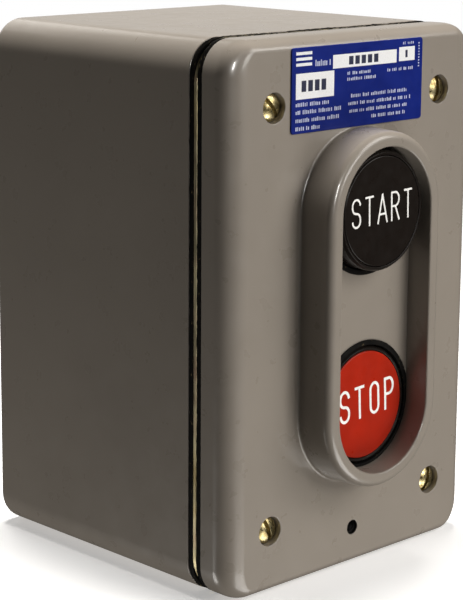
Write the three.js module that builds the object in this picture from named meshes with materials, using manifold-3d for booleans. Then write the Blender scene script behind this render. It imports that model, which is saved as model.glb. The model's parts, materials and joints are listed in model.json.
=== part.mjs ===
// A two-button START / STOP control station in a watertight die-cast enclosure.
// Units are millimetres and +Z is up. The front faces -Y. The origin is the centre of the back face,
// so the wall that the station is screwed to is the plane y = 0.
import * as THREE from "three";
import { mergeVertices } from "three/addons/utils/BufferGeometryUtils.js";
import Module from "manifold-3d";

const wasm = await Module();
wasm.setup();

// ---------------------------------------------------------------- driving dimensions
const WIDTH = 87.2;
const HEIGHT = 133.4;
const CORNER_R = 8.3; // rounding of the four long edges
const BODY_DEPTH = 73.5;
const BODY_WALL = 3.5;
const BACK_WALL = 4;
const BACK_EDGE_R = 2;

// The joint between body and cover: gasket, sheet steel frame, gasket.
const REAR_GASKET_T = 1.4;
const FRAME_T = 1.2;
const FRONT_GASKET_T = 1.5;
const SEAL_INSET = 0.7; // the seals and the frame stay this far inside the castings' outline
const SEAL_LAND = 6; // width of the sealing land round the mouth

const COVER_DEPTH = 9.1;
const COVER_WALL = 3.2;
const COVER_SIDE_WALL = 5;
const COVER_EDGE_DEPTH = 5; // how far back the front edge's rounding reaches
const COVER_EDGE_SIDE = 6.2; // how far it reaches in from the left and right
const COVER_EDGE_TOP = 3; // and from the top and bottom

// The two operators stand one above the other inside one guard ring.
const BUTTON_Z = 24.4;
const CAP_R = 14.6;
const CAP_BORE_R = 15.5;
const DISC_R = 13.4;
const DISC_T = 1.2;
const CAP_DEPTH = 6;
const CAP_HUB_R = 5.4;
const HUB_REACH = 13.6; // from the cap's face to the back of its hub
const STEM_PAD_T = 1.4;
const STROKE = 4.7;
const GUARD_HALF_LENGTH = 24; // from the middle to the centre of each round end, outside
const OPENING_HALF_LENGTH = 24.4; // and inside
const GUARD_BASE_R = 20;
const GUARD_EDGE_R = 2.1; // rounding of the guard's outer edge
const GUARD_OPENING_R = 15.7;
const GUARD_HEIGHT = 9.8;
const RECESS_FLOOR = 2.9; // the recess floor stands this far in front of the cover's face
const START_PROUD = 7.9; // the face of the released cap, from the cover's face

// Cover screws
const SCREW_X = 29.2;
const SCREW_Z = 50.8;
const SCREW_HEAD_R = 3.3;
const SCREW_DOME = 1.1;
const SCREW_SUNK = 0.3; // the top of the head, behind the cover's face
const SCREW_SHANK_R = 2.2;
const SCREW_HOLE_R = 2.6;
const SCREW_LENGTH = 24.8;
const COUNTERBORE_R = 3.6;
const COUNTERBORE_DEPTH = 3.3;
const SEAL_WASHER_T = 0.5;
const BOSS_R = 5.5;
const BOSS_DEPTH = 24;

// Conduit entry in the bottom, for a 3/4 inch thread
const CONDUIT_R = 12.2;
const CONDUIT_Y = -36;
const CONDUIT_HUB_R = 17;
const CONDUIT_HUB_DEPTH = 11;

// Contact block
const BLOCK_HALF_X = 19;
const BLOCK_HALF_Z = 36;
const BLOCK_BACK = -46;
const BLOCK_WALL = 3;
const POST_X = 13.5; // posts for the block cover's two screws, in opposite corners
const POST_Z = 31;
const POST_HALF = 3;
const EAR_HALF_X = 9;
const EAR_HALF_Z = 4.5;
const EAR_T = 5;
const SMALL_HOLE_R = 1.9; // clearance for the block's fixing screws
const CARRIER_BOSS_R = 5;
const CARRIER_BOSS_LENGTH = 7;
const CARRIER_LENGTH = 21.4;
const CARRIER_HALF_X = 6;
const CARRIER_HALF_Z = 5;
const WINDOW_HALF_Z = 3.2; // the window in a carrier, where its bridge and contact spring sit
const ROCKER_Y = -56;
const ROCKER_ARM = 15;
const ROCKER_TIP_R = 1.5;
const ROCKER_TILT = Math.asin(STROKE / 2 / ROCKER_ARM); // START out and STOP in
const BRIDGE_T = 1.2;
const TERMINAL_X = 23.5;
const STRAP_Z = 43.5;
const STRAP_HEIGHT = 10;

const GAP = 0.3; // running clearance

// Sides of round pieces: the big visible ones, middling ones, and small screws and holes
const FINE = 32;
const MEDIUM = 16;
const COARSE = 10;

// ---------------------------------------------------------------- planes along the depth, worked out
const MOUTH = -BODY_DEPTH;
const FRAME_BACK = MOUTH - REAR_GASKET_T;
const FRAME_FRONT = FRAME_BACK - FRAME_T;
const COVER_BACK = FRAME_FRONT - FRONT_GASKET_T;
const FACE = COVER_BACK - COVER_DEPTH;
const COVER_INSIDE = FACE + COVER_WALL;
const FLOOR = FACE - RECESS_FLOOR;
const RIM = FACE - GUARD_HEIGHT;
const HALF_W = WIDTH / 2;
const HALF_H = HEIGHT / 2;

// ---------------------------------------------------------------- solids
function solid(geometry) {
  const bare = geometry.clone();
  bare.deleteAttribute("normal");
  bare.deleteAttribute("uv");
  const merged = mergeVertices(bare, 1e-4);
  const triVerts = new Uint32Array(merged.index.array);
  const vertProperties = merged.attributes.position.array;
  const made = new wasm.Manifold(new wasm.Mesh({ numProp: 3, vertProperties, triVerts }));
  if (made.volume() > 0) {
    return made;
  }
  const flipped = triVerts.map((_, i) => triVerts[i - (i % 3) + 2 - (i % 3)]);
  return new wasm.Manifold(new wasm.Mesh({ numProp: 3, vertProperties, triVerts: flipped }));
}

function geometryOf(manifold) {
  const mesh = manifold.getMesh();
  const positions = new Float32Array(mesh.numVert * 3);
  for (let i = 0; i < mesh.numVert; i++) {
    positions.set(mesh.vertProperties.subarray(i * mesh.numProp, i * mesh.numProp + 3), i * 3);
  }
  const geometry = new THREE.BufferGeometry();
  geometry.setAttribute("position", new THREE.BufferAttribute(positions, 3));
  geometry.setIndex(new THREE.BufferAttribute(mesh.triVerts, 1));
  geometry.computeVertexNormals();
  return geometry;
}

const join = (first, ...others) => others.reduce((sum, other) => sum.add(other), first);
const cut = (first, ...others) => others.reduce((rest, other) => rest.subtract(other), first);

// ---------------------------------------------------------------- outlines in the X-Z plane
function rectangle(halfX, halfZ, radius, x = 0, z = 0) {
  const shape = new THREE.Shape();
  const quarter = Math.PI / 2;
  const corners = [
    [1, 1],
    [-1, 1],
    [-1, -1],
    [1, -1],
  ];
  corners.forEach(([sx, sz], i) => {
    const cx = x + sx * (halfX - radius);
    const cz = z + sz * (halfZ - radius);
    shape.absarc(cx, cz, radius, i * quarter, (i + 1) * quarter, false);
  });
  return shape;
}

function circle(radius, x = 0, z = 0) {
  return new THREE.Shape().absarc(x, z, radius, 0, 2 * Math.PI, false);
}

// Two round ends of the given radius, joined by straight sides.
function stadium(radius, halfLength) {
  const shape = new THREE.Shape();
  shape.absarc(0, halfLength, radius, 0, Math.PI, false);
  shape.absarc(0, -halfLength, radius, Math.PI, 2 * Math.PI, false);
  return shape;
}

// A bar with one round end at a cover screw, running outwards into the corner.
function cornerLobe(sx, sz, radius) {
  const reach = 11;
  const outer = rectangle(reach, radius, radius - 0.01, reach - radius, 0);
  const points = outer.extractPoints(3).shape;
  const angle = Math.atan2(sz, sx);
  points.forEach((p) => p.rotateAround(new THREE.Vector2(), angle).add(
    new THREE.Vector2(sx * SCREW_X, sz * SCREW_Z)));
  return new THREE.Shape(points);
}

// ---------------------------------------------------------------- solids from outlines
// A prism of an outline between two planes of constant y.
function prism(shape, yBack, yFront, curveSegments = 5) {
  const depth = yBack - yFront;
  const geometry = new THREE.ExtrudeGeometry(shape, { depth, bevelEnabled: false, curveSegments });
  geometry.rotateX(Math.PI / 2);
  geometry.translate(0, yBack, 0);
  return solid(geometry);
}

// A turned piece on an axis along Y: the profile is a list of [radius, y].
function turned(profile, x = 0, z = 0, segments = MEDIUM) {
  const points = profile.map(([r, y]) => new THREE.Vector2(r, y));
  const geometry = new THREE.LatheGeometry(points, segments);
  geometry.translate(x, 0, z);
  return solid(geometry);
}

function rod(radius, yBack, yFront, x = 0, z = 0, segments = COARSE) {
  const geometry = new THREE.CylinderGeometry(radius, radius, yBack - yFront, segments);
  geometry.translate(x, (yBack + yFront) / 2, z);
  return solid(geometry);
}

function crossRod(radius, length, y, z, segments = COARSE) {
  const geometry = new THREE.CylinderGeometry(radius, radius, length, segments);
  geometry.rotateZ(Math.PI / 2);
  geometry.translate(0, y, z);
  return solid(geometry);
}

function block(x0, x1, y0, y1, z0, z1) {
  const geometry = new THREE.BoxGeometry(x1 - x0, y1 - y0, z1 - z0);
  geometry.translate((x0 + x1) / 2, (y0 + y1) / 2, (z0 + z1) / 2);
  return solid(geometry);
}

// A skin over a row of outlines with the same number of points, each [points, y], closed at both ends.
function loft(sections) {
  const count = sections[0][0].length;
  const positions = [];
  const index = [];
  for (const [points, y] of sections) {
    points.forEach((p) => positions.push(p.x, y, p.y));
  }
  for (let s = 0; s + 1 < sections.length; s++) {
    for (let i = 0; i < count; i++) {
      const a = s * count + i;
      const b = s * count + ((i + 1) % count);
      index.push(a, a + count, b, b, a + count, b + count);
    }
  }
  const last = (sections.length - 1) * count;
  for (const [a, b, c] of THREE.ShapeUtils.triangulateShape(sections[0][0], [])) {
    index.push(a, b, c);
  }
  for (const [a, b, c] of THREE.ShapeUtils.triangulateShape(sections.at(-1)[0], [])) {
    index.push(last + a, last + c, last + b);
  }
  const geometry = new THREE.BufferGeometry();
  geometry.setAttribute("position", new THREE.Float32BufferAttribute(positions, 3));
  geometry.setIndex(index);
  return solid(geometry);
}

// The outline of the castings, drawn in by one inset at the sides and another at the top and bottom.
function outline(insetX, insetZ, segments = 5) {
  const points = [];
  const radiusX = Math.max(CORNER_R - insetX, 1.2);
  const radiusZ = Math.max(CORNER_R - insetZ, 1.2);
  const halfX = HALF_W - insetX;
  const halfZ = HALF_H - insetZ;
  const signs = [
    [1, 1],
    [-1, 1],
    [-1, -1],
    [1, -1],
  ];
  signs.forEach(([sx, sz], quarter) => {
    for (let i = 0; i <= segments; i++) {
      const angle = ((quarter + i / segments) * Math.PI) / 2;
      const x = sx * (halfX - radiusX) + radiusX * Math.cos(angle);
      const z = sz * (halfZ - radiusZ) + radiusZ * Math.sin(angle);
      points.push(new THREE.Vector2(x, z));
    }
  });
  return points;
}

// ---------------------------------------------------------------- the object
const station = new THREE.Group();

function add(group, name, made, color, roughness, metalness) {
  const geometry = made.isBufferGeometry ? made : geometryOf(made);
  const material = new THREE.MeshStandardMaterial({ color, roughness, metalness });
  const mesh = new THREE.Mesh(geometry, material);
  mesh.name = name;
  group.add(mesh);
  return mesh;
}

const ENAMEL = ["#8a8279", 0.32, 0.1];
const RUBBER = ["#141312", 0.85, 0];
const GILT_STEEL = ["#b9a25a", 0.4, 0.8];
const BRASS = ["#b08a3c", 0.3, 0.95];
const STEEL = ["#9a9a98", 0.35, 0.9];
const BLACK_PLASTIC = ["#1b1917", 0.35, 0];
const RED_PLASTIC = ["#a3240f", 0.3, 0];
const BLUE_FOIL = ["#1b2f8c", 0.4, 0.1];
const PHENOLIC = ["#2a1d18", 0.5, 0];
const NYLON = ["#d9d4c4", 0.5, 0];
const SILVER = ["#c9c6bf", 0.25, 1];
const GREEN_STEEL = ["#2f6b3a", 0.4, 0.6];

const CORNERS = [
  ["upper_left", -1, 1],
  ["upper_right", 1, 1],
  ["lower_left", -1, -1],
  ["lower_right", 1, -1],
];
const MOUNT_HOLE_R = 2.8;
const MOUNT_HOLE_Z = 47.6;
const GROUND_X = -27;
const GROUND_Z = -34;
const GROUND_BOSS = 6;
const GROUND_BOSS_R = 5;
const RELIEF_RIM = 8; // width of the back's bearing rim
const RELIEF_DEPTH = 1;
const CENTRE_PAD_R = 9;
const HOLE_PAD_R = 7;

function enclosureBody() {
  const skin = loft([
    [outline(BACK_EDGE_R, BACK_EDGE_R), 0],
    [outline(BACK_EDGE_R * 0.29, BACK_EDGE_R * 0.29), -BACK_EDGE_R * 0.29],
    [outline(0, 0), -BACK_EDGE_R],
    [outline(0, 0), MOUTH],
  ]);
  let cavity = prism(
    rectangle(HALF_W - BODY_WALL, HALF_H - BODY_WALL, CORNER_R - BODY_WALL), -BACK_WALL, MOUTH - 1);
  for (const [, sx, sz] of CORNERS) {
    cavity = cavity.subtract(prism(cornerLobe(sx, sz, BOSS_R), MOUTH + BOSS_DEPTH, MOUTH - 1));
  }
  const bottomInside = -HALF_H + BODY_WALL;
  const hub = new THREE.CylinderGeometry(CONDUIT_HUB_R, CONDUIT_HUB_R, CONDUIT_HUB_DEPTH, FINE);
  hub.rotateX(Math.PI / 2);
  hub.translate(0, CONDUIT_Y, bottomInside + CONDUIT_HUB_DEPTH / 2);
  cavity = cut(
    cavity, solid(hub), rod(GROUND_BOSS_R, 0, -BACK_WALL - GROUND_BOSS, GROUND_X, GROUND_Z));
  let body = cut(skin, cavity);
  const entry = new THREE.CylinderGeometry(CONDUIT_R, CONDUIT_R, 2 * HALF_H, FINE);
  entry.rotateX(Math.PI / 2);
  entry.translate(0, CONDUIT_Y, -HALF_H);
  body = cut(body, solid(entry), rod(1.8, -3, -BACK_WALL - GROUND_BOSS - 1, GROUND_X, GROUND_Z));
  // The back is relieved, so that only its rim and its pads touch the wall.
  const relief = cut(
    prism(rectangle(HALF_W - RELIEF_RIM, HALF_H - RELIEF_RIM, 6), 1, -RELIEF_DEPTH),
    rod(CENTRE_PAD_R, 2, -2, 0, 0, FINE),
    rod(HOLE_PAD_R, 2, -2, 0, MOUNT_HOLE_Z, MEDIUM),
    rod(HOLE_PAD_R, 2, -2, 0, -MOUNT_HOLE_Z, MEDIUM),
  );
  body = cut(body, relief);
  for (const side of [1, -1]) {
    body = body.subtract(rod(MOUNT_HOLE_R, 1, -BACK_WALL - 1, 0, side * MOUNT_HOLE_Z));
  }
  for (const [, sx, sz] of CORNERS) {
    const bottom = MOUTH + BOSS_DEPTH - 3;
    body = body.subtract(rod(SCREW_HOLE_R, bottom, MOUTH - 1, sx * SCREW_X, sz * SCREW_Z));
  }
  return body;
}

// A flat ring that follows the mouth of the castings, with lobes round the cover screws.
function sealRing(yBack, yFront, inset, straps) {
  const shape = rectangle(HALF_W - inset, HALF_H - inset, CORNER_R - inset);
  const outer = prism(shape, yBack, yFront, 5);
  const innerX = HALF_W - SEAL_LAND;
  const innerZ = HALF_H - SEAL_LAND;
  let opening = prism(rectangle(innerX, innerZ, 3), yBack + 1, yFront - 1, 3);
  for (const [, sx, sz] of CORNERS) {
    opening = opening.subtract(prism(cornerLobe(sx, sz, BOSS_R), yBack + 2, yFront - 2));
  }
  if (straps) {
    for (const side of [1, -1]) {
      const strapZ = side * STRAP_Z;
      const half = STRAP_HEIGHT / 2;
      opening = opening.subtract(
        block(-HALF_W, HALF_W, yFront - 2, yBack + 2, strapZ - half, strapZ + half));
    }
  }
  let ring = outer.subtract(opening);
  for (const [, sx, sz] of CORNERS) {
    ring = ring.subtract(rod(SCREW_HOLE_R, yBack + 1, yFront - 1, sx * SCREW_X, sz * SCREW_Z));
  }
  return ring;
}

function mountingFrame() {
  let plate = sealRing(FRAME_BACK, FRAME_FRONT, SEAL_INSET - 0.3, true);
  for (const side of [1, -1]) {
    plate = plate.subtract(rod(SMALL_HOLE_R, FRAME_BACK + 1, FRAME_FRONT - 1, 0, side * STRAP_Z));
  }
  return plate;
}

// ---------------------------------------------------------------- cover
const RETAINER_T = 1.5;
const SEAL_FLANGE_T = 1.2;
const SEAL_OPENING_R = 13; // inside the clamped flange, the web is free
const SLEEVE_R = 15.45; // the sleeve lines the bore in front of the flange
const SLEEVE_INNER_R = 14.85;
const SLEEVE_PROUD = 0.3; // beyond the recess floor
const LIP_R = 5.65;
const RETAINER_SCREW_X = 12;
const RETAINER_R = 19.2;
const SEAL_FLANGE_R = 18.4;
const BLIND_HOLE_Z = -56.7; // small plain hole below the guard
const BLIND_HOLE_R = 1.85;
const BLIND_HOLE_DEPTH = 7;

function coverSkin() {
  const steps = 4;
  const sections = [[outline(0, 0), COVER_BACK]];
  for (let i = 0; i <= steps; i++) {
    const angle = ((i / steps) * Math.PI) / 2;
    const inset = 1 - Math.cos(angle);
    const y = FACE + COVER_EDGE_DEPTH * (1 - Math.sin(angle));
    sections.push([outline(COVER_EDGE_SIDE * inset, COVER_EDGE_TOP * inset), y]);
  }
  return loft(sections);
}

function guardRing() {
  const draft = 0.3;
  const levels = [
    [GUARD_BASE_R, FACE + 2],
    [GUARD_BASE_R, FACE],
  ];
  const steps = 3;
  for (let i = 0; i <= steps; i++) {
    const angle = ((i / steps) * Math.PI) / 2;
    const r = GUARD_BASE_R - draft - GUARD_EDGE_R * (1 - Math.cos(angle));
    levels.push([r, RIM + GUARD_EDGE_R * (1 - Math.sin(angle))]);
  }
  return loft(levels.map(([r, y]) => [stadium(r, GUARD_HALF_LENGTH).extractPoints(10).shape, y]));
}

function cover() {
  const recessEdge = 0.5;
  const opening = loft(
    [
      [GUARD_OPENING_R, FLOOR],
      [GUARD_OPENING_R, RIM + recessEdge],
      [GUARD_OPENING_R + recessEdge, RIM],
      [GUARD_OPENING_R + recessEdge, RIM - 1],
    ].map(([r, y]) => [stadium(r, OPENING_HALF_LENGTH).extractPoints(10).shape, y]),
  );
  let pocket = prism(
    rectangle(HALF_W - COVER_SIDE_WALL, HALF_H - COVER_SIDE_WALL, 5), COVER_BACK + 1, COVER_INSIDE, 5);
  for (const [, sx, sz] of CORNERS) {
    pocket = pocket.subtract(prism(cornerLobe(sx, sz, BOSS_R), COVER_BACK + 2, COVER_INSIDE - 1));
  }
  pocket = pocket.subtract(rod(4, COVER_BACK + 1.5, COVER_INSIDE - 1, 0, BLIND_HOLE_Z));
  let made = cut(join(coverSkin(), guardRing()), opening, pocket);
  made = made.subtract(
    rod(BLIND_HOLE_R, FACE + BLIND_HOLE_DEPTH, FACE - 1, 0, BLIND_HOLE_Z));
  for (const side of [1, -1]) {
    made = cut(
      made,
      rod(CAP_BORE_R, COVER_BACK, RIM, 0, side * BUTTON_Z, FINE),
      rod(1.6, COVER_BACK, COVER_INSIDE - 4, side * RETAINER_SCREW_X, 0),
    );
  }
  for (const [, sx, sz] of CORNERS) {
    const x = sx * SCREW_X;
    const z = sz * SCREW_Z;
    const seat = FACE + COUNTERBORE_DEPTH;
    made = cut(
      made,
      rod(SCREW_HOLE_R, COVER_BACK + 1, FACE - 1, x, z),
      rod(COUNTERBORE_R, seat, FACE - 1, x, z, MEDIUM),
    );
  }
  return made;
}

function coverScrew(x, z, slotAngle) {
  const under = FACE + COUNTERBORE_DEPTH - SEAL_WASHER_T;
  const top = FACE + SCREW_SUNK;
  const edge = top + SCREW_DOME;
  const tip = under + SCREW_LENGTH;
  const screw = turned(
    [
      [0, tip],
      [SCREW_SHANK_R - 0.8, tip],
      [SCREW_SHANK_R, tip - 1],
      [SCREW_SHANK_R, under],
      [SCREW_HEAD_R, under],
      [SCREW_HEAD_R, edge],
      [SCREW_HEAD_R - 0.7, edge - 0.6],
      [SCREW_HEAD_R - 2, top + 0.15],
      [0, top],
    ], x, z, MEDIUM);
  const slot = new THREE.BoxGeometry(1.15, 2.4, 3 * SCREW_HEAD_R);
  slot.rotateY(slotAngle);
  slot.translate(x, top - 0.1, z);
  return screw.subtract(solid(slot));
}

function washer(inner, outer, yBack, yFront, x, z) {
  return turned(
    [
      [inner, yBack],
      [outer, yBack],
      [outer, yFront],
      [inner, yFront],
      [inner, yBack],
    ], x, z, COARSE);
}

// A rubber lip seal: a flange clamped against the cover, and a lip that wipes the cap's hub.
function lipSeal(z) {
  const front = COVER_INSIDE;
  const back = front + SEAL_FLANGE_T;
  const lipBack = front + 2.4;
  const sleeveFront = FACE - RECESS_FLOOR - SLEEVE_PROUD;
  return turned(
    [
      [SEAL_FLANGE_R, front],
      [SLEEVE_R, front],
      [SLEEVE_R, sleeveFront],
      [SLEEVE_INNER_R, sleeveFront],
      [SLEEVE_INNER_R, front],
      [SEAL_OPENING_R, front],
      [8.6, front + 0.7],
      [7, front + 0.2],
      [LIP_R, front + 0.2],
      [LIP_R, lipBack],
      [7, lipBack],
      [8.6, lipBack - 0.7],
      [SEAL_OPENING_R, back],
      [SEAL_FLANGE_R, back],
      [SEAL_FLANGE_R, front],
    ], 0, z, FINE);
}

function sealRetainer() {
  const front = COVER_INSIDE + SEAL_FLANGE_T;
  let plate = prism(stadium(RETAINER_R, BUTTON_Z), front + RETAINER_T, front, 8);
  for (const side of [1, -1]) {
    plate = cut(
      plate,
      rod(SEAL_OPENING_R + 0.5, front + 3, front - 1, 0, side * BUTTON_Z, MEDIUM),
      rod(1.7, front + 3, front - 1, side * RETAINER_SCREW_X, 0),
    );
  }
  return plate;
}

// A small round-headed screw along Y, head to the back or to the front.
function smallScrew(x, z, seatY, headR, headT, shankR, length, towardsFront) {
  const way = towardsFront ? -1 : 1;
  const screw = turned(
    [
      [0, seatY - way * length],
      [shankR, seatY - way * length],
      [shankR, seatY],
      [headR, seatY],
      [headR, seatY + way * headT * 0.6],
      [headR * 0.72, seatY + way * headT],
      [0, seatY + way * headT],
    ], x, z, COARSE);
  const slot = block(x - 0.4, x + 0.4, -1, 1, z - headR, z + headR);
  return screw.subtract(slot.translate([0, seatY + way * (headT + 0.4), 0]));
}

// ---------------------------------------------------------------- push buttons
function buttonPieces(group, name, z, travelled, discColour) {
  const face = FACE - START_PROUD + travelled;
  const back = face + CAP_DEPTH;
  const hubBack = face + HUB_REACH;
  const pocketR = DISC_R + 0.15;
  const cap = turned(
    [
      [0, face + DISC_T + 0.1],
      [pocketR, face + DISC_T + 0.1],
      [pocketR, face + 0.15],
      [pocketR + 0.3, face],
      [CAP_R - 0.5, face + 0.1],
      [CAP_R - 0.15, face + 0.5],
      [CAP_R, face + 1.2],
      [CAP_R, back],
      [CAP_HUB_R, back],
      [CAP_HUB_R, hubBack],
      [3.5, hubBack],
      [3.5, back - 1],
      [0, back - 1],
    ], 0, z, FINE);
  const disc = turned(
    [
      [0, face + DISC_T],
      [DISC_R, face + DISC_T],
      [DISC_R, face + 0.25],
      [DISC_R - 0.25, face],
      [0, face],
    ], 0, z, FINE);
  const padFront = hubBack + GAP;
  const stem = turned(
    [
      [0, back - 1 + GAP],
      [3.2, back - 1 + GAP],
      [3.2, padFront],
      [4.6, padFront],
      [4.6, padFront + STEM_PAD_T],
      [0, padFront + STEM_PAD_T],
    ], 0, z, MEDIUM);
  add(group, `${name}_cap`, cap, ...BLACK_PLASTIC);
  add(group, `${name}_disc`, disc, ...discColour);
  add(group, `${name}_stem`, stem, ...NYLON);
}

// ---------------------------------------------------------------- contact block
const BLOCK_MOUTH = MOUTH + 0.5;
const BLOCK_COVER_FRONT = FRAME_FRONT;
const CARRIER_FRONT_OUT = FACE + 7.8; // the released carrier's push face, just behind the button's stem
const START_CONTACT_Y = -56.4;
const STOP_CONTACT_Y = -65;
const TERMINALS = [
  ["start_left", -1, 1],
  ["start_right", 1, 1],
  ["stop_left", -1, -1],
  ["stop_right", 1, -1],
];
const TERMINAL_T = 1.2;
const TERMINAL_HALF_Z = 3.5;

// The faces of a contact strip along the depth: START closes inwards and STOP closes outwards.
function stripFaces(side) {
  return side > 0
    ? [START_CONTACT_Y, START_CONTACT_Y + TERMINAL_T]
    : [STOP_CONTACT_Y - TERMINAL_T, STOP_CONTACT_Y];
}

function contactBlock() {
  let made = block(-BLOCK_HALF_X, BLOCK_HALF_X, BLOCK_MOUTH, BLOCK_BACK, -BLOCK_HALF_Z, BLOCK_HALF_Z);
  const insideX = BLOCK_HALF_X - BLOCK_WALL;
  const insideZ = BLOCK_HALF_Z - BLOCK_WALL;
  let chamber = block(-insideX, insideX, BLOCK_MOUTH - 1, BLOCK_BACK - BLOCK_WALL, -insideZ, insideZ);
  const posts = [
    [1, 1],
    [-1, -1],
  ];
  for (const [sx, sz] of posts) {
    const x = sx * POST_X;
    const z = sz * POST_Z;
    chamber = chamber.subtract(block(
      x - POST_HALF, x + POST_HALF, BLOCK_MOUTH - 2, BLOCK_BACK, z - POST_HALF, z + POST_HALF));
  }
  made = made.subtract(chamber);
  for (const side of [1, -1]) {
    const earBack = FRAME_BACK + EAR_T;
    const ear = block(-EAR_HALF_X, EAR_HALF_X, FRAME_BACK, earBack,
      side * STRAP_Z - EAR_HALF_Z, side * STRAP_Z + EAR_HALF_Z);
    const neckZ = [side * (BLOCK_HALF_Z - 1), side * (STRAP_Z - 3)].sort((a, b) => a - b);
    const neck = block(-EAR_HALF_X, EAR_HALF_X, BLOCK_MOUTH, earBack, ...neckZ);
    made = join(made, ear, neck);
    made = made.subtract(rod(SMALL_HOLE_R, earBack + 1, FRAME_BACK - 1, 0, side * STRAP_Z));
  }
  for (const [, sx, sz] of TERMINALS) {
    const [front, back] = stripFaces(sz);
    const z = sz * BUTTON_Z;
    const xs = [sx * (BLOCK_HALF_X - 1), sx * (TERMINAL_X + 4.5)].sort((a, b) => a - b);
    made = made.add(block(...xs, back, BLOCK_BACK, z - 5, z + 5));
    const slotXs = [sx * (insideX - 1), sx * (BLOCK_HALF_X + 0.5)].sort((a, b) => a - b);
    const half = TERMINAL_HALF_Z + GAP;
    made = made.subtract(block(...slotXs, front - GAP, back + GAP, z - half, z + half));
    made = made.subtract(rod(2, BLOCK_BACK - 2, back - 1, sx * TERMINAL_X, z));
  }
  for (const [sx, sz] of posts) {
    made = made.subtract(rod(1.3, BLOCK_MOUTH + 10, BLOCK_MOUTH - 1, sx * POST_X, sz * POST_Z));
  }
  return made.subtract(crossRod(1.8, 3 * BLOCK_HALF_X, ROCKER_Y, 0));
}

function blockCover() {
  const yBack = BLOCK_MOUTH - 0.05;
  let plate = block(
    -BLOCK_HALF_X, BLOCK_HALF_X, BLOCK_COVER_FRONT, yBack, -BLOCK_HALF_Z, BLOCK_HALF_Z);
  for (const side of [1, -1]) {
    plate = cut(
      plate,
      rod(CARRIER_BOSS_R + 0.5, yBack + 1, BLOCK_COVER_FRONT - 1, 0, side * BUTTON_Z, MEDIUM),
      rod(1.5, yBack + 1, BLOCK_COVER_FRONT - 1, side * POST_X, side * POST_Z),
    );
  }
  return plate;
}

function terminalStrip(sx, sz) {
  const [front, back] = stripFaces(sz);
  const z = sz * BUTTON_Z;
  const xs = [sx * 9.5, sx * (TERMINAL_X + 4)].sort((a, b) => a - b);
  const strip = block(...xs, front, back, z - TERMINAL_HALF_Z, z + TERMINAL_HALF_Z);
  return strip.subtract(rod(2, back + 1, front - 1, sx * TERMINAL_X, z));
}

// A carrier: push boss, slotted body with the contact bridge in it, and a foot for the rocker.
function carrier(side, travelled, windowFront, windowBack) {
  const front = CARRIER_FRONT_OUT + travelled;
  const bodyFront = front + CARRIER_BOSS_LENGTH;
  const bodyBack = front + CARRIER_LENGTH;
  const footBack = ROCKER_Y - ROCKER_ARM * Math.sin(ROCKER_TILT) - ROCKER_TIP_R - GAP + travelled;
  const z = side * BUTTON_Z;
  const boss = rod(CARRIER_BOSS_R, bodyFront + 0.5, front, 0, z, MEDIUM);
  const body = block(
    -CARRIER_HALF_X, CARRIER_HALF_X, bodyFront, bodyBack, z - CARRIER_HALF_Z, z + CARRIER_HALF_Z);
  const footZ = [side * 12.5, side * (BUTTON_Z - 4)].sort((a, b) => a - b);
  const foot = block(-5, 5, footBack - 3, footBack, ...footZ);
  const window = block(-8, 8, windowFront, windowBack, z - WINDOW_HALF_Z, z + WINDOW_HALF_Z);
  return join(boss, body, foot).subtract(window);
}

function rocker() {
  const hub = crossRod(4, 9, 0, 0, MEDIUM);
  const arm = block(-4.5, 4.5, -1.4, 1.4, -ROCKER_ARM, ROCKER_ARM);
  const tips = [1, -1].map((side) => crossRod(ROCKER_TIP_R, 9, 0, side * ROCKER_ARM));
  return join(hub, arm, ...tips).subtract(crossRod(1.85, 20, 0, 0));
}

// A helical wire along Y.
function coil(radius, wire, yBack, yFront, z, turns) {
  const points = [];
  const steps = Math.round(turns * 8);
  for (let i = 0; i <= steps; i++) {
    const angle = (2 * Math.PI * turns * i) / steps;
    const y = yFront + wire + ((yBack - yFront - 2 * wire) * i) / steps;
    points.push(new THREE.Vector3(radius * Math.cos(angle), y, z + radius * Math.sin(angle)));
  }
  const extrudePath = new THREE.CatmullRomCurve3(points);
  const section = circle(wire);
  return solid(new THREE.ExtrudeGeometry(section, { steps, curveSegments: 2, extrudePath }));
}

// ---------------------------------------------------------------- assembly
add(station, "enclosure_body", enclosureBody(), ...ENAMEL);
add(station, "rear_gasket", sealRing(MOUTH, FRAME_BACK, SEAL_INSET, false), ...RUBBER);
add(station, "mounting_frame", mountingFrame(), ...GILT_STEEL);
add(station, "front_gasket", sealRing(FRAME_FRONT, COVER_BACK, SEAL_INSET, false), ...RUBBER);
add(station, "ground_screw",
  smallScrew(GROUND_X, GROUND_Z, -BACK_WALL - GROUND_BOSS, 4, 2.2, 1.5, 6, true), ...GREEN_STEEL);

const coverGroup = new THREE.Group();
station.add(coverGroup);
add(coverGroup, "cover", cover(), ...ENAMEL);
const plateShape = rectangle(23.05, 10, 0.8, -0.95, 54.2);
add(coverGroup, "nameplate", prism(plateShape, FACE - 0.02, FACE - 0.4, 3), ...BLUE_FOIL);
const SLOT_ANGLES = [-0.75, 0.1, 0.05, -0.35];
CORNERS.forEach(([place, sx, sz], i) => {
  const x = sx * SCREW_X;
  const z = sz * SCREW_Z;
  const seat = FACE + COUNTERBORE_DEPTH;
  add(coverGroup, `cover_screw_${place}`, coverScrew(x, z, SLOT_ANGLES[i]), ...BRASS);
  add(coverGroup, `screw_seal_${place}`,
    washer(2.4, 3.2, seat, seat - SEAL_WASHER_T, x, z), ...RUBBER);
});
add(coverGroup, "start_seal", lipSeal(BUTTON_Z), ...RUBBER);
add(coverGroup, "stop_seal", lipSeal(-BUTTON_Z), ...RUBBER);
add(coverGroup, "seal_retainer", sealRetainer(), ...STEEL);
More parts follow.
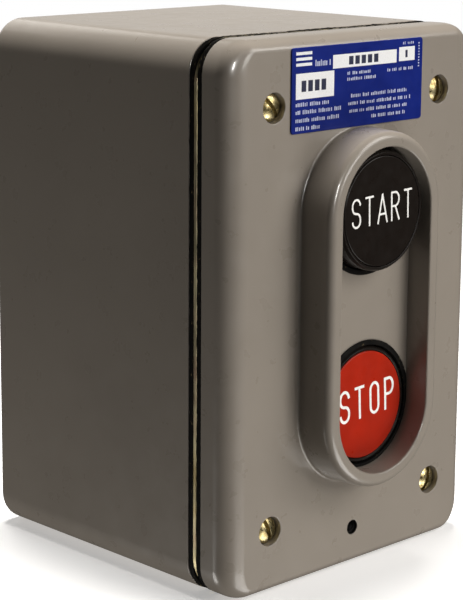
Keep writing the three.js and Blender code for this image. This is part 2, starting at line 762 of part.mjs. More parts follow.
for (const [place, side] of [["right", 1], ["left", -1]]) {
  const seat = COVER_INSIDE + SEAL_FLANGE_T + RETAINER_T;
  add(coverGroup, `retainer_screw_${place}`,
    smallScrew(side * RETAINER_SCREW_X, 0, seat, 2.6, 1.4, 1.3, 5, false), ...STEEL);
}

const startButton = new THREE.Group();
const stopButton = new THREE.Group();
coverGroup.add(startButton, stopButton);
buttonPieces(startButton, "start", BUTTON_Z, 0, BLACK_PLASTIC);
buttonPieces(stopButton, "stop", -BUTTON_Z, STROKE, RED_PLASTIC);

add(station, "contact_block", contactBlock(), ...PHENOLIC);
add(station, "contact_block_cover", blockCover(), ...PHENOLIC);
for (const [place, side] of [["upper", 1], ["lower", -1]]) {
  add(station, `block_screw_${place}`,
    smallScrew(0, side * STRAP_Z, FRAME_FRONT, 3.2, 1.9, 1.6, 5.5, true), ...STEEL);
  add(station, `block_cover_screw_${place}`,
    smallScrew(side * POST_X, side * POST_Z, BLOCK_COVER_FRONT, 2.3, 1.3, 1.1, 9, true), ...STEEL);
}
for (const [place, sx, sz] of TERMINALS) {
  add(station, `terminal_${place}`, terminalStrip(sx, sz), ...BRASS);
  add(station, `terminal_screw_${place}`,
    smallScrew(sx * TERMINAL_X, sz * BUTTON_Z, stripFaces(sz)[0], 3.3, 2.1, 1.7, 6.5, true), ...STEEL);
}

const startBridgeBack = START_CONTACT_Y - GAP - STROKE;
const stopBridgeFront = STOP_CONTACT_Y + GAP + STROKE;
const startWindow = [startBridgeBack - 5.9, startBridgeBack + GAP];
const stopWindow = [stopBridgeFront - GAP, stopBridgeFront + 5];
add(station, "start_carrier", carrier(1, 0, ...startWindow), ...NYLON);
add(station, "stop_carrier", carrier(-1, STROKE, ...stopWindow), ...NYLON);

function bridge(side, yFront) {
  const z = side * BUTTON_Z;
  return block(-14, 14, yFront, yFront + BRIDGE_T, z - 2.5, z + 2.5);
}
add(station, "start_bridge", bridge(1, startBridgeBack - BRIDGE_T), ...SILVER);
add(station, "stop_bridge", bridge(-1, stopBridgeFront), ...SILVER);
const startSpring = [startBridgeBack - BRIDGE_T - GAP, startWindow[0] + GAP];
const stopSpring = [stopWindow[1] - GAP, stopBridgeFront + BRIDGE_T + GAP];
add(station, "start_contact_spring", coil(2, 0.35, ...startSpring, BUTTON_Z, 3), ...STEEL);
add(station, "stop_contact_spring", coil(2, 0.35, ...stopSpring, -BUTTON_Z, 3), ...STEEL);

const rockerGroup = new THREE.Group();
rockerGroup.position.set(0, ROCKER_Y, 0);
rockerGroup.rotation.x = ROCKER_TILT;
station.add(rockerGroup);
add(rockerGroup, "rocker", rocker(), ...STEEL);
add(station, "rocker_pin", crossRod(1.5, 2 * BLOCK_HALF_X, ROCKER_Y, 0), ...STEEL);

// The detent is a bowed leaf behind the rocker's hub.
function detentLeaf() {
  const span = 10;
  const rise = 2;
  const thickness = 0.4;
  const points = [];
  const steps = 12;
  const bow = (t) => rise * (1 - t * t);
  for (let i = 0; i <= steps; i++) {
    const t = -1 + (2 * i) / steps;
    points.push(new THREE.Vector2(span * t, bow(t)));
  }
  for (let i = steps; i >= 0; i--) {
    const t = -1 + (2 * i) / steps;
    points.push(new THREE.Vector2(span * t, bow(t) - thickness));
  }
  const geometry = new THREE.ExtrudeGeometry(new THREE.Shape(points), { depth: 6, bevelEnabled: false });
  geometry.rotateY(Math.PI / 2);
  geometry.rotateX(Math.PI);
  geometry.translate(-3, BLOCK_BACK - BLOCK_WALL - GAP - thickness, 0);
  return solid(geometry);
}
add(station, "detent_leaf", detentLeaf(), ...STEEL);

export default station;
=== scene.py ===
"""A START / STOP push-button station in an enamelled casting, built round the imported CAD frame.

Shapes are worked out in millimetres in the part's own frame and become metres in Solid.made():
x is to the right, the front faces -y, and z is up."""

import json
import math
import random

import bmesh
import bpy
from mathutils import Matrix, Vector, noise
from mathutils.geometry import tessellate_polygon

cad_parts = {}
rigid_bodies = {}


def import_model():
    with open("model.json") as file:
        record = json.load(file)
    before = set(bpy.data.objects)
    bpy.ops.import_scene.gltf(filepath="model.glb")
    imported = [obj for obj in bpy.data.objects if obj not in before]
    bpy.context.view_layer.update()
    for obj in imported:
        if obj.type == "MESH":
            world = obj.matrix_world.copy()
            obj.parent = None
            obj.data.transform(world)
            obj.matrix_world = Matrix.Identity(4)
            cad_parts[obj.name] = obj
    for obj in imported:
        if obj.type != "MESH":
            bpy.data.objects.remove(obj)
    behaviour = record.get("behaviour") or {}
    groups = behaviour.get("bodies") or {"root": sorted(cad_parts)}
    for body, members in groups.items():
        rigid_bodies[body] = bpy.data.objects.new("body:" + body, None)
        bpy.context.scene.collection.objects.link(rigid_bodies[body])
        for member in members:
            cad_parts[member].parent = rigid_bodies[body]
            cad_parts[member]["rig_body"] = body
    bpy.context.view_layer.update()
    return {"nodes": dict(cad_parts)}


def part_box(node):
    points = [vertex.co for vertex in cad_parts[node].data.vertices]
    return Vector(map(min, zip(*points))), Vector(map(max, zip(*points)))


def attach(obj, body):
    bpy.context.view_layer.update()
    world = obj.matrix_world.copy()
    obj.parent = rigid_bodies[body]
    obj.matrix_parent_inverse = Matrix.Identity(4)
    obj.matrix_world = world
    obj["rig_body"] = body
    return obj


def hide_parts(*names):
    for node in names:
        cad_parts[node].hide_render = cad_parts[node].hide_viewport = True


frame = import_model()

MM = 0.001
ROUND = 96  # sides of the big turned pieces
SMALL = 40  # sides of screws and holes
SHARP = math.radians(38)


# ---------- sizes taken from the frame
def corners(node):
    """Lowest and highest corner of a CAD node, in millimetres."""
    low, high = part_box(node)
    return low / MM, high / MM


def middle(node):
    low, high = corners(node)
    return (low + high) / 2


body_low, body_high = corners("enclosure_body")
cover_low, cover_high = corners("cover")
plate_low, plate_high = corners("nameplate")
cap_low, cap_high = corners("start_cap")

HALF_W = body_high.x
HALF_H = body_high.z
MOUTH = body_low.y
COVER_BACK = cover_high.y
RIM = cover_low.y
FACE = plate_high.y + 0.02
BUTTON_Z = middle("start_cap").z
CAP_R = (cap_high.x - cap_low.x) / 2
SCREW_X = middle("cover_screw_upper_right").x
SCREW_Z = middle("cover_screw_upper_right").z

# ---------- sizes of the castings' details
CORNER_R = 8.3
BACK_EDGE_R = 2.0
LAND_EDGE_R = 0.25
COVER_EDGE_SIDE = 6.2
COVER_EDGE_TOP = 3.0
COVER_EDGE_DEPTH = 5.0
COVER_INSIDE = FACE + 3.2
COVER_SIDE_WALL = 5.0
FLOOR = FACE - 2.9
GUARD_R = 20.0
GUARD_HALF = 24.0
GUARD_DRAFT = 0.3
GUARD_EDGE_R = 2.1
GUARD_FILLET = 0.6
OPENING_R = 15.7
OPENING_HALF = 24.4
OPENING_EDGE_R = 0.5
BORE_R = 15.5
SLEEVE_R = 15.42
COLLAR_R = 16.2
BODY_WALL = 3.5
BACK_WALL = 4.0
SEAL_LAND = 6.0
LOBE_R = 5.5
LOBE_DEPTH = 24.0
SCREW_HOLE_R = 2.6
SCREW_HOLE_STEP = 0.27
COUNTERBORE_R = 3.6
COUNTERBORE_SEAT = FACE + 3.3
BLIND_HOLE_Z = -56.7
BLIND_HOLE_R = 1.85
BLIND_HOLE_DEPTH = 7.0
BLIND_HOLE_PITCH = 0.8
RETAINER_SCREW_X = 12.0
CAP_T = 6.0
CAP_HUB_R = 5.4
CONDUIT_R = 12.2
CONDUIT_Y = -36.0
CONDUIT_CHAMFER = 0.8
PIPE_PITCH = 1.814
PIPE_STEP = 0.22
PIPE_THREAD_T = 0.9
HUB_R = 17.0
HUB_DEPTH = 11.0
RELIEF_RIM = 8.0
RELIEF_DEPTH = 1.0
RELIEF_R = 6.0
MOUNT_HOLE_R = 2.8
MOUNT_HOLE_Z = 47.6
MOUNT_PAD_R = 7.0
CENTRE_PAD_R = 9.0
PAD_SIDES = 64
EARTH_BOSS_R = 5.0
EARTH_BOSS_T = 6.0
TAP_R = 1.8
TAP_BOTTOM = -3.0
SIGNS = [(1, 1), (-1, 1), (-1, -1), (1, -1)]  # the four corners, in turn
SCREW_SPOTS = [(sx * SCREW_X, sz * SCREW_Z) for sx, sz in SIGNS]
TERMINALS = ("start_left", "start_right", "stop_left", "stop_right")


# ---------- outlines, as lists of (x, z)
def arc(x, z, radius, start, end, steps):
    angles = [start + (end - start) * i / steps for i in range(steps + 1)]
    return [(x + radius * math.cos(a), z + radius * math.sin(a)) for a in angles]


def circle(radius, x=0.0, z=0.0, steps=SMALL):
    return arc(x, z, radius, 0, 2 * math.pi, steps)[:-1]


def stadium(radius, half, steps=40):
    """Two round ends joined by straight sides."""
    return arc(0, half, radius, 0, math.pi, steps) + arc(0, -half, radius, math.pi, 2 * math.pi, steps)


def rounded(half_x, half_z, radius, x=0.0, z=0.0, steps=8):
    points = []
    for quarter, (sx, sz) in enumerate(SIGNS):
        start = quarter * math.pi / 2
        mid_x, mid_z = x + sx * (half_x - radius), z + sz * (half_z - radius)
        points += arc(mid_x, mid_z, radius, start, start + math.pi / 2, steps)
    return points


def casting_outline(inset_x, inset_z, steps=12):
    """The castings' outline, drawn in by one inset at the sides and another at the top and bottom."""
    radius_x = max(CORNER_R - inset_x, 1.2)
    radius_z = max(CORNER_R - inset_z, 1.2)
    points = []
    for quarter, (sx, sz) in enumerate(SIGNS):
        for i in range(steps + 1):
            angle = (quarter + i / steps) * math.pi / 2
            x = sx * (HALF_W - inset_x - radius_x) + radius_x * math.cos(angle)
            z = sz * (HALF_H - inset_z - radius_z) + radius_z * math.sin(angle)
            points.append((x, z))
    return points


def lobed(half_x, half_z):
    """A rectangular opening whose corners are kept by lobes round the cover screws."""
    reach = LOBE_R / math.sqrt(2)
    lobe = [(half_x, SCREW_Z - reach - reach + (half_x - SCREW_X))]
    lobe += arc(SCREW_X, SCREW_Z, LOBE_R, -math.pi / 4, -math.pi * 5 / 4, 14)
    lobe += [(SCREW_X - reach - reach + (half_z - SCREW_Z), half_z)]
    points = []
    for sx, sz in SIGNS:
        placed = [(sx * x, sz * z) for x, z in lobe]
        points += placed if sx * sz > 0 else placed[::-1]
    return points


def drawn_in(outline, amount):
    return [(x - math.copysign(amount, x), z - math.copysign(amount, z)) for x, z in outline]


def circles(x, z, steps=SMALL):
    """A function that draws circles of any radius about one point."""
    return lambda radius: circle(radius, x, z, steps)


def soften(points, closed=False, steps=6):
    """Rounds the corners of a polyline of (u, v, corner radius)."""
    made = []
    count = len(points)
    for i, (u, v, radius) in enumerate(points):
        if radius == 0 or (not closed and i in (0, count - 1)):
            made.append((u, v))
            continue
        here = Vector((u, v))
        before = (Vector(points[i - 1][:2]) - here).normalized()
        after = (Vector(points[(i + 1) % count][:2]) - here).normalized()
        half = before.angle(after) / 2
        centre = here + (before + after).normalized() * radius / math.sin(half)
        first = here + before * radius / math.tan(half) - centre
        last = here + after * radius / math.tan(half) - centre
        turn = first.angle_signed(last)
        for k in range(steps + 1):
            spoke = first.copy()
            spoke.rotate(Matrix.Rotation(-turn * k / steps, 2))
            made.append(tuple(centre + spoke))
    return made


def dense(outline, step):
    """The same closed outline with a point at least every step."""
    made = []
    for (x0, z0), (x1, z1) in zip(outline, outline[1:] + outline[:1]):
        parts = max(1, round(math.hypot(x1 - x0, z1 - z0) / step))
        made += [(x0 + (x1 - x0) * k / parts, z0 + (z1 - z0) * k / parts) for k in range(parts)]
    return made


# ---------- solids
class Solid:
    """Points in millimetres and faces, gathered ring by ring."""

    def __init__(self):
        self.points = []
        self.faces = []

    def loop(self, points):
        first = len(self.points)
        self.points += [tuple(p) for p in points]
        return list(range(first, len(self.points)))

    def ring(self, outline, y):
        return self.loop([(x, y, z) for x, z in outline])

    def skin(self, *rings, skip=()):
        """Quads from each ring to the next; skip leaves out the sides that start there."""
        for one, two in zip(rings, rings[1:]):
            for i in range(len(one)):
                j = (i + 1) % len(one)
                if i not in skip:
                    self.faces.append((one[i], one[j], two[j], two[i]))

    def wall(self, profile, shape, closed=False):
        """Rings drawn by shape at each (size, y) of a profile, with a skin; closed fills the last one."""
        rings = [self.ring(shape(size), y) for size, y in profile]
        self.skin(*rings)
        if closed:
            self.fill(rings[-1])
        return rings

    def straight(self, outline, *depths, closed=False):
        return self.wall([(outline, y) for y in depths], lambda same: same, closed)

    def fill(self, loop):
        self.faces.append(tuple(loop))

    def ends(self, outer, *holes):
        """Flat faces at both ends of a wall, round the walls of its holes."""
        for end in (0, -1):
            self.plate(outer[end], *[hole[end] for hole in holes])

    def prism(self, outline, front, back):
        self.ends(self.straight(outline, front, back))

    def plate(self, *loops, facing=1):
        """Fills the flat area inside the first loop and outside the others; it faces along that axis."""
        order = [i for loop in loops for i in loop]
        u, v = [axis for axis in range(3) if axis != facing]
        flat = [[Vector((self.points[i][u], self.points[i][v], 0)) for i in loop] for loop in loops]
        for triangle in tessellate_polygon(flat):
            self.faces.append(tuple(order[i] for i in triangle))

    def turned(self, profile, x=0.0, z=0.0, steps=ROUND):
        """A piece turned about a line along y; its (radius, y) profile ends on that line or closes."""
        rings = []
        for radius, y in profile:
            if radius < 1e-6:
                rings.append(self.loop([(x, y, z)]) * steps)
            else:
                rings.append(self.ring(circle(radius, x, z, steps), y))
        if profile[0][0] > 1e-6:
            rings.append(rings[0])
        self.skin(*rings)
        return self

    def moved(self, matrix):
        self.points = [tuple(matrix @ Vector(p)) for p in self.points]
        return self

    def added(self, other):
        first = len(self.points)
        self.points += other.points
        self.faces += [tuple(i + first for i in face) for face in other.faces]

    def made(self, name, material):
        mesh = bpy.data.meshes.new(name)
        build = bmesh.new()
        corners_made = [build.verts.new(Vector(p) * MM) for p in self.points]
        for face in self.faces:
            distinct = list(dict.fromkeys(face))
            if len(distinct) > 2:
                build.faces.new([corners_made[i] for i in distinct])
        bmesh.ops.delete(build, geom=[v for v in build.verts if not v.link_faces], context="VERTS")
        bmesh.ops.recalc_face_normals(build, faces=build.faces)
        build.to_mesh(mesh)
        build.free()
        mesh.materials.append(material)
        return linked(name, mesh)


def linked(name, data):
    thing = bpy.data.objects.new(name, data)
    bpy.context.scene.collection.objects.link(thing)
    return thing


def shaded(thing, weighted=True, sharp=SHARP):
    """Smooth faces with hard edges where the surface really turns."""
    thing.data.polygons.foreach_set("use_smooth", [True] * len(thing.data.polygons))
    thing.data.set_sharp_from_angle(angle=sharp)
    if weighted:
        modifier = thing.modifiers.new("normals", "WEIGHTED_NORMAL")
        modifier.keep_sharp = True
        modifier.weight = 90
    return thing


def place(thing, body, *nodes, slot="its material"):
    """Rides on a body in the place of CAD nodes, which it hides. It works out a slot from the material's
    name, without the number that Blender adds because the frame has a material of that name too, unless
    another slot is given, but gives the piece no slot."""
    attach(thing, body)
    if slot == "its material":
        slot = thing.data.materials[0].name.split(".")[0]
    if nodes:
        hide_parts(*nodes)


def boolean(thing, tool, operation):
    """Applies a boolean and deletes the tool."""
    modifier = thing.modifiers.new("cut", "BOOLEAN")
    modifier.operation = operation
    modifier.solver = "EXACT"
    modifier.object = tool
    bpy.context.view_layer.update()
    evaluated = thing.evaluated_get(bpy.context.evaluated_depsgraph_get())
    result = bpy.data.meshes.new_from_object(evaluated)
    thing.modifiers.remove(modifier)
    thing.data = result
    bpy.data.objects.remove(tool)


def bevelled(mesh, width, angle=SHARP, where=lambda edge: True, segments=2):
    """Rounds a mesh's sharp edges."""
    build = bmesh.new()
    build.from_mesh(mesh)
    bmesh.ops.remove_doubles(build, verts=build.verts, dist=1e-3 * MM)
    bmesh.ops.dissolve_limit(build, angle_limit=math.radians(0.5), verts=build.verts, edges=build.edges)
    edges = [e for e in build.edges if len(e.link_faces) == 2 and e.calc_face_angle() > angle and where(e)]
    bmesh.ops.bevel(
        build, geom=edges, offset=width * MM, segments=segments, profile=0.5, affect="EDGES",
        clamp_overlap=True)
    build.to_mesh(mesh)
    build.free()


def tube(path, radius, sides):
    """A round wire along a path of points in millimetres."""
    made = Solid()
    rings = []
    side = None
    for i, point in enumerate(path):
        along = (path[min(i + 1, len(path) - 1)] - path[max(i - 1, 0)]).normalized()
        if side is None:
            side = along.orthogonal().normalized()
        side = (side - along * side.dot(along)).normalized()
        other = along.cross(side)
        turn = [2 * math.pi * k / sides for k in range(sides)]
        rings.append(made.loop([point + radius * (side * math.cos(t) + other * math.sin(t)) for t in turn]))
    made.skin(*rings)
    for end in (rings[0], rings[-1]):
        made.fill(end)
    return made


def thread(solid, radius, depth, pitch, start, end, x, z, axis=1):
    """Cuts a helical thread into the points that lie on a cylinder between two planes."""
    across, up = [k for k in range(3) if k != axis]
    for i, point in enumerate(solid.points):
        u = point[across] - x
        v = point[up] - z
        along = point[axis]
        if abs(math.hypot(u, v) - radius) > 1e-3 or not start < along < end:
            continue
        fade = min(1, (along - start) / pitch, (end - along) / pitch)
        phase = (along / pitch + math.atan2(v, u) / (2 * math.pi)) % 1
        scale = 1 + depth * fade * (2 * abs(phase - 0.5)) / radius
        changed = list(point)
        changed[across] = x + u * scale
        changed[up] = z + v * scale
        solid.points[i] = tuple(changed)


def span(start, end, step):
    parts = max(1, round(abs(end - start) / step))
    return [start + (end - start) * k / parts for k in range(parts + 1)]


# ---------- materials
class Material:
    """A Principled material and short ways to build procedural inputs for it."""

    def __init__(self, name, roughness, metallic=0.0, **sockets):
        self.made = bpy.data.materials.new(name)
        self.made.use_nodes = True
        self.nodes = self.made.node_tree.nodes
        self.links = self.made.node_tree.links
        self.shader = self.nodes["Principled BSDF"]
        for socket, value in {"Roughness": roughness, "Metallic": metallic, **sockets}.items():
            self.shader.inputs[socket.replace("_", " ")].default_value = value
        self.place = self.nodes.new("ShaderNodeTexCoord").outputs["Object"]
        self.relief = None

    def node(self, kind, output, **inputs):
        """One output of a new node whose inputs are set to values or linked to other outputs."""
        made = self.nodes.new("ShaderNode" + kind)
        for name, value in inputs.items():
            socket = made.inputs[name.replace("_", " ")]
            if isinstance(value, bpy.types.NodeSocket):
                self.links.new(value, socket)
            else:
                socket.default_value = value
        return made.outputs[output]

    def stretched(self, *scale):
        """Object coordinates in metres, multiplied along each axis."""
        return self.node("Mapping", "Vector", Vector=self.place, Scale=scale)

    def noise(self, size, detail=2.0, vector=None):
        """Noise whose features are about size millimetres across."""
        return self.node("TexNoise", "Fac", Vector=vector or self.place, Scale=1 / (size * MM), Detail=detail)

    def cells(self, size):
        return self.node("TexVoronoi", "Distance", Vector=self.place, Scale=1 / (size * MM))

    def spread(self, value, low, high, out_low=0.0, out_high=1.0):
        return self.node(
            "MapRange", "Result", Value=value, From_Min=low, From_Max=high, To_Min=out_low, To_Max=out_high)

    def color(self, factor, *stops):
        """The base colour from a ramp: stops are (position, (r, g, b)) with linear values."""
        ramp = self.nodes.new("ShaderNodeValToRGB")
        elements = ramp.color_ramp.elements
        while len(elements) < len(stops):
            elements.new(0.5)
        for element, (position, rgb) in zip(elements, stops):
            element.position = position
            element.color = (*rgb, 1)
        self.links.new(factor, ramp.inputs["Fac"])
        self.base = ramp.outputs["Color"]
        self.links.new(self.base, self.shader.inputs["Base Color"])

    def over(self, factor, rgb):
        """Mixes one more colour over the base colour."""
        mix = self.nodes.new("ShaderNodeMix")
        mix.data_type = "RGBA"
        self.links.new(factor, mix.inputs["Factor"])
        self.links.new(self.base, mix.inputs[6])
        mix.inputs[7].default_value = (*rgb, 1)
        self.base = mix.outputs[2]
        self.links.new(self.base, self.shader.inputs["Base Color"])

    def rough(self, factor, low, high):
        self.links.new(self.spread(factor, 0.3, 0.7, low, high), self.shader.inputs["Roughness"])

    def bump(self, value, depth):
        """Adds relief of the given depth in millimetres."""
        below = {"Normal": self.relief} if self.relief else {}
        self.relief = self.node("Bump", "Normal", Height=value, Distance=depth * MM, **below)
        self.links.new(self.relief, self.shader.inputs["Normal"])


def tint(rgb, factor):
    return tuple(c * factor for c in rgb)


def enamel():
    """Warm grey gloss enamel with fine orange peel, a few specks, and the casting's waviness under it."""
    gray = (0.262, 0.232, 0.198)
    m = Material("grey_enamel", 0.3, Coat_Weight=0.3, Coat_Roughness=0.12, Specular_IOR_Level=0.4)
    m.color(m.noise(30, 3), (0.3, tint(gray, 0.965)), (0.7, tint(gray, 1.03)))
    sparse = m.spread(m.noise(9, 1), 0.64, 0.68)
    m.over(m.spread(m.cells(2.6), 0.0, 0.045, sparse, 0.0), tint(gray, 0.78))
    m.rough(m.noise(5, 4), 0.26, 0.37)
    m.bump(m.noise(14, 1), 0.05)
    m.bump(m.noise(1.3, 2), 0.006)
    return m.made


def rubber():
    """Black moulded rubber, dull, with pale flecks that are partly dust and partly painted glints standing in
    for tiny highlights on its cut edges.
    """
    m = Material("seal_rubber", 0.7, Specular_IOR_Level=0.06)
    m.color(m.noise(3, 4), (0.35, (0.003, 0.0028, 0.0026)), (0.75, (0.008, 0.007, 0.006)))
    # Pale flecks: partly dust, partly painted highlight specks.
    dust_and_glint_flecks = m.spread(m.noise(0.5, 3, m.stretched(1, 0.6, 0.35)), 0.66, 0.74)
    m.over(dust_and_glint_flecks, (0.16, 0.12, 0.06))
    m.rough(m.noise(0.8, 3), 0.55, 0.85)
    m.bump(m.noise(0.45, 4), 0.05)
    return m.made


def gilt_steel():
    """Yellow-chromated sheet steel: gold with an uneven, slightly iridescent film."""
    m = Material("gilt_steel", 0.4, 1.0)
    m.color(
        m.noise(6, 4), (0.3, (0.62, 0.50, 0.26)), (0.5, (0.74, 0.66, 0.42)), (0.72, (0.60, 0.44, 0.30))
    )
    m.rough(m.noise(1.2, 4, m.stretched(1, 1, 0.15)), 0.3, 0.5)
    m.bump(m.noise(0.5, 3, m.stretched(1, 1, 0.1)), 0.01)
    return m.made


def brass():
    """Bright gold screw metal with fine marks and a darker tarnish."""
    m = Material("screw_brass", 0.2, 1.0)
    m.color(
        m.noise(1.6, 5), (0.35, (0.15, 0.11, 0.045)), (0.5, (0.40, 0.33, 0.16)), (0.7, (0.60, 0.52, 0.30)))
    m.rough(m.noise(0.5, 4), 0.22, 0.42)
    m.bump(m.noise(0.35, 3), 0.012)
    return m.made


def steel(name="plain_steel", rgb=(0.60, 0.60, 0.58)):
    """Plated metal: even colour with spangle and fine scratches; zinc-grey unless another is given."""
    m = Material(name, 0.35, 1.0)
    m.color(m.cells(1.5), (0.1, tint(rgb, 0.82)), (0.8, rgb))
    m.rough(m.noise(0.8, 4, m.stretched(1, 1, 0.2)), 0.26, 0.46)
    m.bump(m.noise(0.3, 3, m.stretched(1, 0.15, 1)), 0.006)
    return m.made


def plastic(name, rgb, roughness):
    """Moulded plastic: nearly even colour, a satin skin and a very fine grain."""
    m = Material(name, roughness, Specular_IOR_Level=0.16)
    m.color(m.noise(7, 3), (0.3, tint(rgb, 0.9)), (0.7, tint(rgb, 1.1)))
    m.over(m.spread(m.noise(0.35, 2), 0.70, 0.78, 0, 0.35), tint(rgb, 1.9))
    m.rough(m.noise(2.5, 3), roughness * 0.85, roughness * 1.2)
    m.bump(m.noise(0.4, 2), 0.01)
    return m.made


def paint_fill():
    """White filling paint: chalky, a little thinner in places."""
    m = Material("white_fill", 0.5)
    m.color(m.noise(0.9, 4), (0.3, (0.80, 0.79, 0.76)), (0.6, (0.93, 0.93, 0.91)))
    m.bump(m.noise(0.25, 2), 0.01)
    return m.made


def ink(name, rgb):
    """Printing ink on the label, with the dots of a coarse screen."""
    m = Material(name, 0.42)
    m.color(m.cells(0.22), (0.2, tint(rgb, 0.92)), (0.7, rgb))
    m.over(m.spread(m.noise(0.6, 3), 0.62, 0.72, 0, 0.25), tint(rgb, 0.7))
    return m.made


def foil():
    """Deep blue printed polyester with a clear face."""
    m = Material("blue_foil", 0.38, Specular_IOR_Level=0.12, Coat_Weight=0.02, Coat_Roughness=0.15)
    m.color(m.noise(5, 3), (0.3, (0.004, 0.013, 0.150)), (0.7, (0.007, 0.019, 0.190)))
    m.rough(m.noise(1.5, 3), 0.33, 0.45)
    m.bump(m.noise(8, 1), 0.03)
    return m.made


def phenolic():
    """Brown-black phenolic moulding with its wood-flour speckle."""
    m = Material("phenolic", 0.45)
    m.color(m.noise(0.7, 5), (0.35, (0.020, 0.011, 0.008)), (0.65, (0.055, 0.030, 0.020)))
    m.rough(m.noise(1.5, 3), 0.36, 0.55)
    m.bump(m.noise(0.5, 3), 0.012)
    return m.made


def nylon():
    """Natural nylon: milky, with light passing into it."""
    m = Material("nylon", 0.45, Subsurface_Weight=0.3, Subsurface_Scale=0.002)
    m.color(m.noise(5, 3), (0.3, (0.62, 0.57, 0.45)), (0.7, (0.74, 0.70, 0.58)))
    m.rough(m.noise(1.2, 3), 0.38, 0.55)
    m.bump(m.noise(0.6, 2), 0.01)
    return m.made


def pale_floor():
    """Nearly white, with a little light of its own so that it meets the white behind it."""
    m = Material("floor", 0.8, Emission_Color=(1, 1, 1, 1), Emission_Strength=0.35)
    m.color(m.noise(90, 2), (0.3, (0.87, 0.87, 0.87)), (0.7, (0.90, 0.90, 0.90)))
    return m.made


ENAMEL = enamel()
RUBBER = rubber()
GILT = gilt_steel()
BRASS = brass()
STEEL = steel()
SILVER = steel("contact_silver", (0.80, 0.78, 0.73))
GREEN = steel("ground_green", (0.05, 0.22, 0.08))
# Near-black painted shade for the wall of the blind hole in the cover.
HOLE_SHADE = plastic("painted_hole_shade", (0.010, 0.009, 0.008), 0.6)
BLACK = plastic("black_plastic", (0.0100, 0.0074, 0.0060), 0.30)
RED = plastic("red_plastic", (0.37, 0.018, 0.006), 0.32)
WHITE = paint_fill()
PHENOLIC = phenolic()
NYLON = nylon()
FOIL = foil()
WHITE_INK = ink("white_ink", (0.86, 0.87, 0.88))
PALE_INK = ink("pale_ink", (0.52, 0.56, 0.72))
DARK_INK = ink("dark_ink", (0.012, 0.016, 0.05))


# ---------- enclosure casting
def conduit_entry(made, outer_bottom, inner_bottom):
    """A hole with a pipe thread through the bottom wall and the hub inside it."""
    inside_z = -HALF_H + BODY_WALL
    top_z = inside_z + HUB_DEPTH
    start_z = -HALF_H + CONDUIT_CHAMFER

    def level(radius, z):
        return made.loop([(x, CONDUIT_Y + y, z) for x, y in circle(radius, steps=ROUND)])

    mouth_edge = [level(CONDUIT_R + CONDUIT_CHAMFER, -HALF_H), level(CONDUIT_R, start_z)]
    bore = [level(CONDUIT_R, z) for z in span(start_z, top_z - 0.5, PIPE_STEP)[1:]]
    hub_profile = soften(
        [(CONDUIT_R, top_z - 2, 0), (CONDUIT_R, top_z, 0.5), (HUB_R, top_z, 0.8), (HUB_R, inside_z, 1.2),
         (HUB_R + 4, inside_z, 0)], steps=4)[1:-1]
    hub = [level(radius, z) for radius, z in hub_profile]
    made.plate(outer_bottom, mouth_edge[0], facing=2)
    made.skin(*mouth_edge, *bore, hub[0])
    made.skin(*hub)
    made.plate(inner_bottom, hub[-1], facing=2)
    thread(made, CONDUIT_R, PIPE_THREAD_T, PIPE_PITCH, start_z + 0.1, top_z - 0.6, 0, CONDUIT_Y, axis=2)


def enclosure_back(made, outer_edge, inner_edge):
    """The back wall: an earthing boss inside, and a relief outside that leaves a rim and three pads."""
    ground_x, _, ground_z = middle("ground_screw")
    front = -BACK_WALL - EARTH_BOSS_T
    boss = soften(
        [(TAP_R, front, 0), (EARTH_BOSS_R, front, 0.5), (EARTH_BOSS_R, -BACK_WALL, 1),
         (EARTH_BOSS_R + 3, -BACK_WALL, 0)], steps=4)
    boss = made.wall([*boss[-2::-1], (TAP_R, TAP_BOTTOM)], circles(ground_x, ground_z), closed=True)
    mounts = [made.straight(circle(MOUNT_HOLE_R, 0, z), 0, -BACK_WALL) for z in (MOUNT_HOLE_Z, -MOUNT_HOLE_Z)]
    made.plate(inner_edge, boss[0], *[hole[-1] for hole in mounts])

    slope = soften([(-2, 0, 0), (0, 0, 0.3), (0.25, -RELIEF_DEPTH, 0.3), (3, -RELIEF_DEPTH, 0)], steps=3)
    half_x, half_z = HALF_W - RELIEF_RIM, HALF_H - RELIEF_RIM
    relief = made.wall(slope[1:-1], lambda inset: rounded(half_x - inset, half_z - inset, RELIEF_R - inset))
    made.plate(outer_edge, relief[0])
    pads = []
    for pad_r, z in ((CENTRE_PAD_R, 0), (MOUNT_PAD_R, MOUNT_HOLE_Z), (MOUNT_PAD_R, -MOUNT_HOLE_Z)):
        edge = soften(
            [(pad_r + 2, -RELIEF_DEPTH, 0), (pad_r, -RELIEF_DEPTH, 0.3), (pad_r, 0, 0.3), (0, 0, 0)], steps=3)
        pads.append(made.wall(edge[1:-1], circles(0, z, PAD_SIDES)))
    made.plate(relief[-1], *[pad[0] for pad in pads])
    made.fill(pads[0][-1])
    for pad, hole in zip(pads[1:], mounts):
        made.plate(pad[-1], hole[0])


